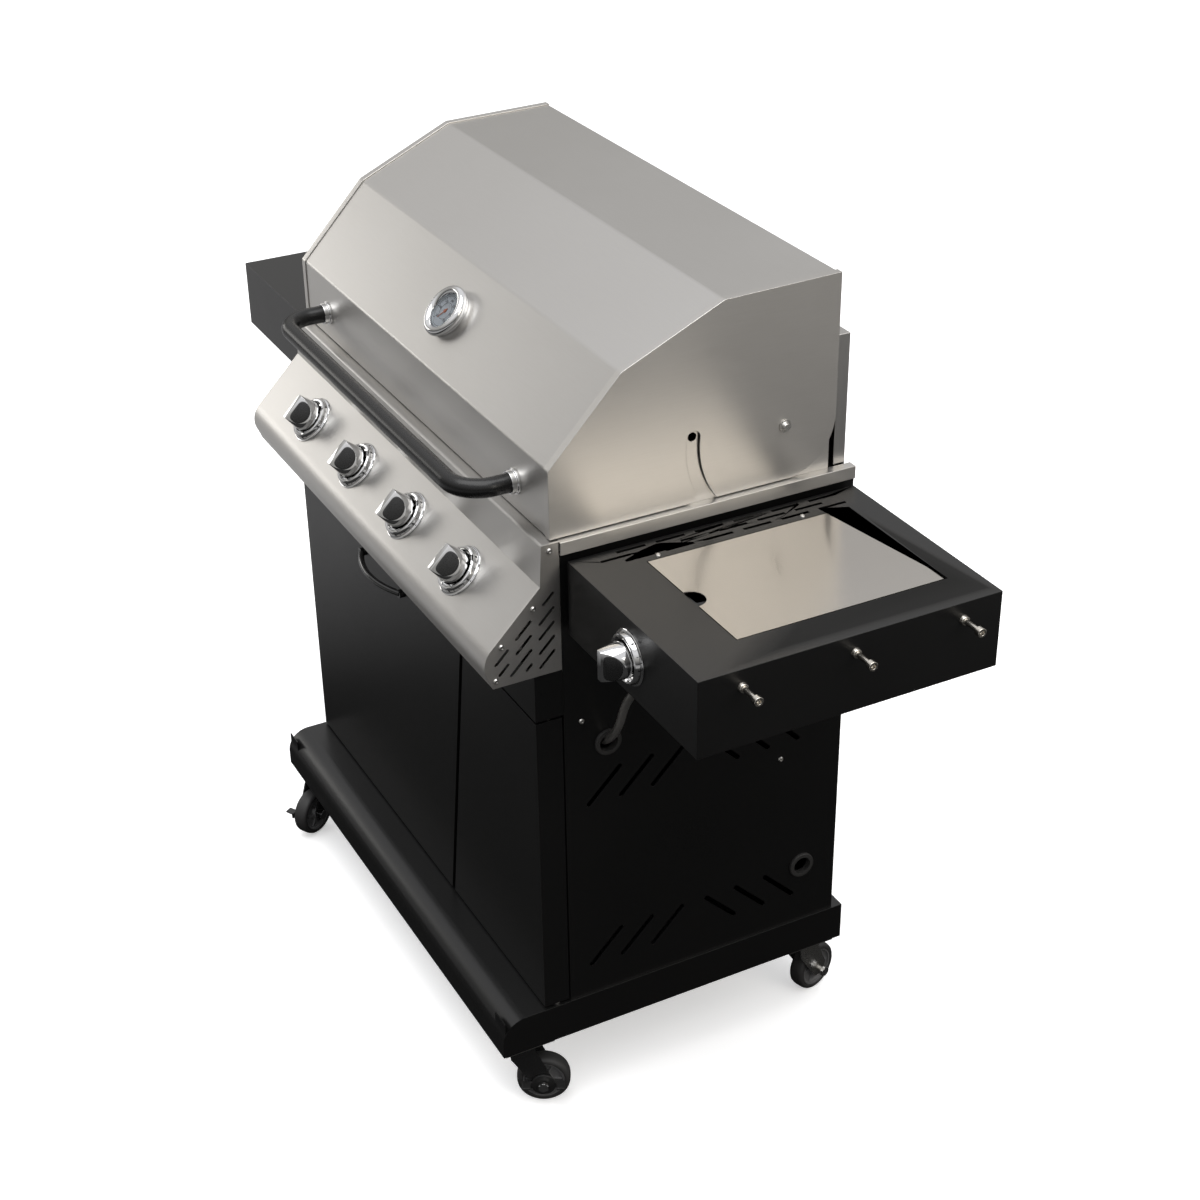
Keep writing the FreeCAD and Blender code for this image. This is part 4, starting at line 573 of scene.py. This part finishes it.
bezel_rings = joined(bezels, "knob_bezel_rings")
bezel_rings.data.materials.append(bright_chrome)
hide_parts("knob_bezels")
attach(bezel_rings, "cart")
bezel_marks = joined(bezel_ticks, "knob_bezel_marks")
bezel_marks.data.materials.append(tick_black)
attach(bezel_marks, "cart")

# ---- Knobs ------------------------------------------------------------------------------------------
# Each knob is a chromed drum cut by two slanted planes that leave a flat ridge to hold. A black plate,
# straight along the ridge and round below, is let into each slant. The drum is a push fit on its spindle.
knob_radius = 0.0228
knob_foot, knob_shoulder, knob_top = 0.0072, 0.0168, 0.0400
ridge_half = 0.0042
bpy.ops.object.select_all(action="DESELECT")
bpy.ops.mesh.primitive_cone_add(
    vertices=96, radius1=knob_radius + 0.0010, radius2=knob_radius - 0.0030, depth=knob_top - knob_foot,
    location=(0, 0, (knob_top + knob_foot) / 2)
)
knob_drum = bpy.context.object
bpy.ops.object.transform_apply(location=True)
bpy.ops.object.mode_set(mode="EDIT")
slant = Vector((knob_top - knob_shoulder, 0, knob_radius - ridge_half)).normalized()
for side in (-1, 1):
    bpy.ops.mesh.select_all(action="SELECT")
    bpy.ops.mesh.bisect(
        plane_co=(side * ridge_half, 0, knob_top), plane_no=(side * slant.x, 0, slant.z), use_fill=True,
        clear_outer=True
    )
bpy.ops.object.mode_set(mode="OBJECT")
round_corners(knob_drum, 0.0007, 3, 20)
bpy.ops.object.shade_smooth_by_angle(angle=math.radians(28))
plate_half, plate_middle, plate_rise, plate_fall = 0.0164, 0.0118, 0.0090, 0.0145
knob_plate_parts = []
for side in (-1, 1):
    bpy.ops.object.select_all(action="DESELECT")
    bpy.ops.mesh.primitive_circle_add(vertices=56, radius=1, fill_type="NGON")
    plate = bpy.context.object
    for vertex in plate.data.vertices:
        wide, upward = vertex.co.x, vertex.co.y
        if upward > 0:
            wide = math.copysign(abs(wide) ** 0.4, wide)
            vertex.co = (plate_half * wide, plate_rise * upward ** 0.8 - plate_middle, 0)
        else:
            vertex.co = (plate_half * wide, plate_fall * upward - plate_middle, 0)
    bpy.ops.object.mode_set(mode="EDIT")
    bpy.ops.mesh.select_all(action="SELECT")
    bpy.ops.mesh.extrude_region_move(TRANSFORM_OT_translate={"value": (0, 0, 0.0005)})
    for thickness, depth in ((0.0005, 0.0003), (0.0012, 0.0003)):
        bpy.ops.mesh.inset(thickness=thickness, depth=depth, use_even_offset=False)
    bpy.ops.object.mode_set(mode="OBJECT")
    bpy.ops.object.shade_smooth_by_angle(angle=math.radians(60))
    down_slope = Vector((side * (knob_radius - ridge_half), 0, knob_shoulder - knob_top)).normalized()
    plate_out = Vector((side * slant.x, 0, slant.z))
    lay = Matrix((down_slope.cross(plate_out) * -1, down_slope * -1, plate_out)).transposed()
    start = Vector((side * ridge_half, 0, knob_top)) - plate_out * 0.0001
    plate.data.transform(Matrix.Translation(start) @ lay.to_4x4())
    knob_plate_parts.append(plate)
knob_plates = joined(knob_plate_parts, "knob_plates")
bpy.ops.object.mode_set(mode="EDIT")
bpy.ops.mesh.select_all(action="SELECT")
bpy.ops.mesh.normals_make_consistent(inside=False)
bpy.ops.object.mode_set(mode="OBJECT")
inlay_black = finish(
    "knob_inlay_black", (0.010, 0.010, 0.010), (0.018, 0.018, 0.018), (0.22, 0.32), grain=(60, 60, 60)
)
for node, place, out, up, body in knob_seats:
    drum = seat(copy_of(knob_drum, node + "_drum"), place, out, up)
    drum.data.materials.append(bright_chrome)
    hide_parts(node)
    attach(drum, body)
    plates = seat(copy_of(knob_plates, node + "_inlays"), place, out, up)
    plates.data.materials.append(inlay_black)
    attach(plates, body)
bpy.data.objects.remove(knob_drum)
bpy.data.objects.remove(knob_plates)

# ---- Hood -------------------------------------------------------------------------------------------
# A stainless sheet folded over at the brow and crown, and two flanged side plates lapped over it. The
# grain runs across the front and along the sides. It turns on a shoulder bolt in each side plate.
hood_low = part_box("hood_side_plates")[0]
face_run = Vector((0, 0.0995, 0.1056))
brow = Vector((0, hood_low.y, hood_low.z + 0.0910))
crown_front = brow + face_run
crown_rear = crown_front + Vector((0, 0.1400, 0.0631))


def across(a, b, line, reach=0.0045):
    """True for an edge that runs along X close to the given fold."""
    close = all(math.hypot(end.y - line.y, end.z - line.z) < reach for end in (a, b))
    return close and abs(a.x - b.x) > 0.002


hood_folds = [
    (lambda a, b: across(a, b, brow), 0.0022),
    (lambda a, b: across(a, b, crown_front), 0.0030),
    (lambda a, b: across(a, b, crown_rear), 0.0030),
]
rounded_copy("hood_shell", "hood_sheet", stainless_front, 0.0004, folds=hood_folds)
rounded_copy("hood_side_plates", "hood_sides", stainless_side, 0.0005, folds=hood_folds)

# The handle is a bent steel tube in satin black, bolted through the front with a chromed ferrule at each
# foot.
handle_black = finish(
    "handle_satin_black", (0.004, 0.004, 0.004), (0.007, 0.007, 0.007), (0.24, 0.31), depth=0.00004
)
shader_of(handle_black).inputs["Specular IOR Level"].default_value = 0.35
rounded_copy("hood_handle", "hood_handle_tube", handle_black, 0)
rounded_copy("handle_ferrules", "hood_handle_ferrules", bright_chrome, 0.0008, 3)

# ---- Thermometer ------------------------------------------------------------------------------------
# A chromed cup with a fat rolled rim on the hood's sloping face. A grey dial with printed ticks, plain
# figures and a red-brown pointer lies under a flat glass; the probe goes on through the sheet.
face_out = Vector((0, -face_run.z, face_run.y)).normalized()
face_up = face_run.normalized()
gauge_place = (brow + crown_front) / 2 - face_out * 0.0015
cup_profile = [
    (0.0, 0.0), (0.0330, 0.0), (0.0336, 0.0006), (0.0336, 0.0040), (0.0342, 0.0046), (0.0356, 0.0056),
    (0.0366, 0.0074), (0.0370, 0.0096), (0.0366, 0.0120), (0.0354, 0.0140), (0.0336, 0.0154), (0.0312, 0.0161),
    (0.0288, 0.0158), (0.0268, 0.0146), (0.0254, 0.0128), (0.0246, 0.0106), (0.0244, 0.0080), (0.0, 0.0080),
]
gauge_cup = seat(lathe("thermometer_cup", cup_profile, 96), gauge_place, face_out, face_up)
gauge_cup.data.materials.append(bright_chrome)
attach(gauge_cup, "hood")
bpy.ops.object.select_all(action="DESELECT")
bpy.ops.mesh.primitive_cylinder_add(vertices=24, radius=0.0040, depth=0.0450, location=(0, 0, -0.0225))
bpy.ops.object.transform_apply(location=True)
probe = seat(bpy.context.object, gauge_place, face_out, face_up)
probe.name = "thermometer_probe"
probe.data.materials.append(bright_chrome)
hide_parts("thermometer")
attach(probe, "hood")
dial_enamel = finish(
    "dial_enamel", (0.20, 0.21, 0.22), (0.25, 0.26, 0.27), (0.30, 0.40), grain=(40, 40, 40)
)


def disc(name, radius, low, high):
    """A flat round plate in the gauge."""
    outline = [(0.0, low), (radius, low), (radius, high), (0.0, high), (0.0, low)]
    return seat(lathe(name, outline), gauge_place, face_out, face_up)


dial = disc("thermometer_dial", 0.0243, 0.0081, 0.0087)
dial.data.materials.append(dial_enamel)
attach(dial, "hood")
dial_marks = []
dial_face, print_depth = 0.0088, 0.0001
for radius in (0.0220, 0.0118):
    outer, printed_face = radius + 0.0005, dial_face + print_depth
    dial_marks.append(lathe("dial_ring", [
        (radius, dial_face), (outer, dial_face), (outer, printed_face), (radius, printed_face),
        (radius, dial_face),
    ]))
for count in range(31):
    turn = math.radians(225 - 9 * count)
    size = (0.0030, 0.0009, print_depth) if count % 5 == 0 else (0.0018, 0.0005, print_depth)
    dial_marks.append(bar(size, on_circle(0.0204, turn, dial_face + print_depth / 2), (0, 0, turn)))
for count in range(7):
    turn = math.radians(225 - 45 * count)
    bpy.ops.object.select_all(action="DESELECT")
    bpy.ops.object.text_add(location=(0, 0, 0))
    figure = bpy.context.object
    figure.data.body = str(50 + 50 * count)
    figure.data.size = 0.0050
    figure.data.extrude = 0.00004
    figure.data.align_x = "CENTER"
    figure.data.align_y = "CENTER"
    figure.data.resolution_u = 2
    bpy.ops.object.convert(target="MESH")
    figure = bpy.context.object
    figure.location = on_circle(0.0158, turn, dial_face + print_depth / 2)
    bpy.ops.object.transform_apply(location=True, rotation=True, scale=True)
    dial_marks.append(figure)
printed = seat(joined(dial_marks, "thermometer_print"), gauge_place, face_out, face_up)
printed.data.materials.clear()
printed.data.materials.append(tick_black)
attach(printed, "hood")
pointer_red = finish("pointer_red", (0.26, 0.06, 0.03), (0.34, 0.10, 0.05), (0.35, 0.45))
needle = bar((0.0190, 0.0022, 0.0004), (-0.0050, 0, dial_face + 0.0008))
for vertex in needle.data.vertices:
    if vertex.co.x < -0.0140:
        vertex.co.y *= 0.25
needle.data.transform(Matrix.Rotation(math.radians(62), 4, "Z"))
needle_hub = lathe("needle_hub", [(0.0, 0.0088), (0.0026, 0.0088), (0.0024, 0.0102), (0.0, 0.0104)], 24)
pointer = seat(joined([needle, needle_hub], "thermometer_pointer"), gauge_place, face_out, face_up)
pointer.data.materials.clear()
pointer.data.materials.append(pointer_red)
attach(pointer, "hood")
gauge_glass = finish(
    "gauge_glass", (0.96, 0.98, 1.0), (0.94, 0.97, 0.99), (0.01, 0.03), grain=(20, 20, 20)
)
shader_of(gauge_glass).inputs["Transmission Weight"].default_value = 1.0
shader_of(gauge_glass).inputs["IOR"].default_value = 1.10
glass = disc("thermometer_glass", 0.0247, 0.0112, 0.0118)
glass.data.materials.append(gauge_glass)
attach(glass, "hood")

# ---- Shelves ----------------------------------------------------------------------------------------
# Folded boxes in the cabinet's black, open below, bolted to the cabinet sides on four spacers. Rows of
# slots by the firebox let its heat past. The right one is cut out for the side burner.
coated("left_shelf", "left_shelf_coated", 0.0005, fold=0.0022)
coated("right_shelf", "right_shelf_coated", 0.0005, fold=0.0022)

# ---- Side burner ------------------------------------------------------------------------------------
# An enamelled bowl hangs in the right shelf with a cast head, its cap and a cast pan support. The flush
# stainless lid turns on two pins at the back and has a round finger notch at the front.
rounded_copy("side_burner_bowl", "side_bowl_enamelled", stove_enamel, 0.0006)
cast_aluminium = finish(
    "cast_aluminium", (0.42, 0.42, 0.42), (0.54, 0.54, 0.54), (0.40, 0.58), 1.0, grain=(140, 140, 140),
    depth=0.0003
)
rounded_copy("side_burner_head", "side_head_cast", cast_aluminium, 0.0010, 3)
rounded_copy("side_burner_trivet", "side_pan_support_cast", cast_black, 0.0014, 3)
stainless_lid = brushed(
    "stainless_lid_bright", (0.42, 0.395, 0.36), (0.52, 0.50, 0.47), (0.17, 0.23), (160, 4, 160), (1, 0, 0), 5
)
rounded_copy("side_burner_lid", "side_lid_steel", stainless_lid, 0.0013, 3)

# ---- Tool pegs --------------------------------------------------------------------------------------
# Three turned steel pegs, each with a flanged foot and a socket head, screwed into the shelf's outer
# end to hang tools on.
peg_steel = finish("peg_steel", (0.50, 0.47, 0.42), (0.64, 0.61, 0.56), (0.16, 0.26), 1.0, grain=(60, 60, 60))
rounded_copy("tool_pegs", "tool_pegs_turned", peg_steel, 0.0007, 3)

# ---- Side gas hose ----------------------------------------------------------------------------------
# A corrugated stainless hose that leaves the side tap downwards, bends into the upper bush and goes on
# inside to the gas rail. It is held at both ends and keeps its curve.
hose_radius = 0.0055
tap_place = side_knob_place + Vector((0, 0.028, -0.034))
bush_place = Vector((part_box("right_side_panel")[1].x, -0.1006, 0.5730))
rail_place = Vector((0.3270, -0.1954, 0.7336))
hose_points = [
    tap_place, tap_place + Vector((-0.002, 0.001, -0.020)), tap_place + Vector((-0.026, 0.008, -0.040)),
    tap_place + Vector((-0.066, 0.016, -0.062)), tap_place + Vector((-0.104, 0.022, -0.104)),
    tap_place + Vector((-0.131, 0.027, -0.156)), bush_place + Vector((0.010, -0.001, 0.010)),
    bush_place + Vector((-0.014, -0.002, -0.008)), bush_place + Vector((-0.042, -0.010, -0.002)),
    Vector((rail_place.x, bush_place.y - 0.030, bush_place.z + 0.048)),
    rail_place + Vector((0, 0.028, -0.058)), rail_place + Vector((0, 0, -0.022)), rail_place,
]
bpy.ops.object.select_all(action="DESELECT")
route_data = bpy.data.curves.new("hose_route", "CURVE")
route_data.dimensions = "3D"
route_line = route_data.splines.new("NURBS")
route_line.points.add(len(hose_points) - 1)
for point, spot in zip(route_line.points, hose_points):
    point.co = (*spot, 1)
route_line.order_u = 3
route_line.use_endpoint_u = True
route_line.resolution_u = 40
route = bpy.data.objects.new("hose_route", route_data)
bpy.context.scene.collection.objects.link(route)
bpy.context.view_layer.update()
line_mesh = bpy.data.meshes.new_from_object(route.evaluated_get(bpy.context.evaluated_depsgraph_get()))
line = [vertex.co.copy() for vertex in line_mesh.vertices]
bpy.data.objects.remove(route)
steps = [0.0]
for start, end in zip(line, line[1:]):
    steps.append(steps[-1] + (end - start).length)
hose_length = steps[-1]


def along(distance):
    """The point of the hose's line at a distance from the tap."""
    for count in range(1, len(steps)):
        if steps[count] >= distance:
            share = (distance - steps[count - 1]) / max(steps[count] - steps[count - 1], 1e-9)
            return line[count - 1].lerp(line[count], share)
    return line[-1].copy()


ring_gap, rings_a_wave, half_wave = 0.0009, 4, 0.00030
ring_count = int(hose_length / ring_gap)
turns_round = 20
hose_vertices = []
centre_line = [along(hose_length * count / ring_count) for count in range(ring_count + 1)]
level = Vector((0, 1, 0))
for count, centre in enumerate(centre_line):
    ahead = (centre_line[min(count + 1, ring_count)] - centre_line[max(count - 1, 0)]).normalized()
    level = (level - ahead * level.dot(ahead)).normalized()
    cross = ahead.cross(level)
    wave = hose_radius - half_wave * (1 + math.cos(2 * math.pi * count / rings_a_wave))
    for step in range(turns_round):
        turn = 2 * math.pi * step / turns_round
        hose_vertices.append(centre + (level * math.cos(turn) + cross * math.sin(turn)) * wave)
hose_faces = []
for count in range(ring_count):
    for step in range(turns_round):
        here, there = count * turns_round, (count + 1) * turns_round
        following = (step + 1) % turns_round
        hose_faces.append((here + step, here + following, there + following, there + step))
hose_faces.append(tuple(reversed(range(turns_round))))
hose_faces.append(tuple(range(ring_count * turns_round, (ring_count + 1) * turns_round)))
hose_mesh = bpy.data.meshes.new("side_hose_corrugated")
hose_mesh.from_pydata(hose_vertices, [], hose_faces)
side_hose = bpy.data.objects.new("side_hose_corrugated", hose_mesh)
bpy.context.scene.collection.objects.link(side_hose)
for face in hose_mesh.polygons:
    face.use_smooth = len(face.vertices) == 4
hose_steel = finish("hose_steel", (0.68, 0.66, 0.62), (0.78, 0.76, 0.72), (0.30, 0.38), 1.0)
hose_mesh.materials.append(hose_steel)
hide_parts("side_gas_hose")
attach(side_hose, "cart")

# ---- Casters ----------------------------------------------------------------------------------------
# Each caster has a pressed plate and kingpin, a fork that swivels on it and a moulded wheel on a through
# bolt. The front pair have black forks and a rocking brake pedal; the rear pair are plain.
rounded_copy("caster_plates", "caster_plates_plated", zinc_plate, 0.0006)
tread_grey = finish(
    "wheel_tread", (0.020, 0.020, 0.021), (0.042, 0.041, 0.040), (0.50, 0.68), grain=(90, 90, 90),
    depth=0.0003
)
hub_grey = finish("wheel_hub", (0.10, 0.10, 0.105), (0.16, 0.16, 0.16), (0.38, 0.52), grain=(70, 70, 70))
pedal_black = finish(
    "pedal_black", (0.012, 0.012, 0.012), (0.022, 0.022, 0.022), (0.28, 0.42), grain=(90, 90, 90),
    depth=0.0002
)
tread_profile = [
    (0.0290, -0.0100), (0.0300, -0.0118), (0.0325, -0.0120), (0.0348, -0.0112), (0.0364, -0.0094),
    (0.0372, -0.0066), (0.0375, -0.0030), (0.0375, 0.0030), (0.0372, 0.0066), (0.0364, 0.0094),
    (0.0348, 0.0112), (0.0325, 0.0120), (0.0300, 0.0118), (0.0290, 0.0100), (0.0290, -0.0100),
]
hub_profile = [
    (0.00405, -0.0118), (0.0090, -0.0118), (0.0102, -0.0110), (0.0108, -0.0085), (0.0125, -0.0060),
    (0.0240, -0.0060), (0.0262, -0.0078), (0.0272, -0.0108), (0.0290, -0.0112), (0.0291, 0.0112),
    (0.0272, 0.0108), (0.0262, 0.0078), (0.0240, 0.0060), (0.0125, 0.0060), (0.0108, 0.0085), (0.0102, 0.0110),
    (0.0090, 0.0118), (0.00405, 0.0118), (0.00405, -0.0118),
]
tread_pattern = lathe("tread_pattern", tread_profile, 72)
hub_pattern = lathe("hub_pattern", hub_profile, 72)
rib_parts = []
for side in (-1, 1):
    for count in range(6):
        turn = math.radians(60 * count)
        rib = bar((0.0150, 0.0024, 0.0030), on_circle(0.0180, turn, side * 0.0072), (0, 0, turn))
        round_corners(rib, 0.0006, 2)
        rib_parts.append(rib)
hub_pattern = joined([hub_pattern] + rib_parts, "hub_pattern")
bpy.ops.object.select_all(action="DESELECT")
bpy.ops.mesh.primitive_cylinder_add(vertices=6, radius=0.0080, depth=0.0052)
nut_pattern = bpy.context.object
round_corners(nut_pattern, 0.0006, 2)
wheel_half, side_play, fork_leg, pedal_room = 0.0120, 0.0025, 0.0025, 0.0060
nut_reach = wheel_half + side_play + fork_leg + 0.0025
for corner in ("front_right", "front_left", "rear_right", "rear_left"):
    roll = joints["roll_" + corner]
    axle_place, axle = Vector(roll["pos_m"]), Vector(roll["axis"])
    for pattern, part, paint in ((tread_pattern, "tread", tread_grey), (hub_pattern, "hub", hub_grey)):
        piece = seat(copy_of(pattern, "caster_%s_%s" % (part, corner)), axle_place, axle, Vector((0, 0, 1)))
        piece.data.materials.clear()
        piece.data.materials.append(paint)
        if part == "tread":
            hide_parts("caster_wheel_" + corner)
        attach(piece, "wheel_" + corner)
    front = corner.startswith("front")
    rounded_copy(
        "caster_fork_" + corner, "caster_fork_%s_pressed" % corner, gloss_black if front else zinc_plate,
        0.0008, 3
    )
    for side, reach, end in ((1, nut_reach, "inner"), (-1, nut_reach + pedal_room, "outer")):
        nut = seat(
            copy_of(nut_pattern, "axle_nut_%s_%s" % (corner, end)), axle_place + axle * side * reach,
            axle * side, Vector((0, 0, 1))
        )
        nut.data.materials.append(bright_chrome)
        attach(nut, "fork_" + corner)
    if front:
        rounded_copy(
            "brake_pedal_" + corner, "brake_rocker_" + corner, pedal_black, 0.0008, 3
        )
for pattern in (tread_pattern, hub_pattern, nut_pattern):
    bpy.data.objects.remove(pattern)

# ---- Last update ------------------------------------------------------------------------------------
# The view layer is brought up to date once every piece is in place.
bpy.context.view_layer.update()
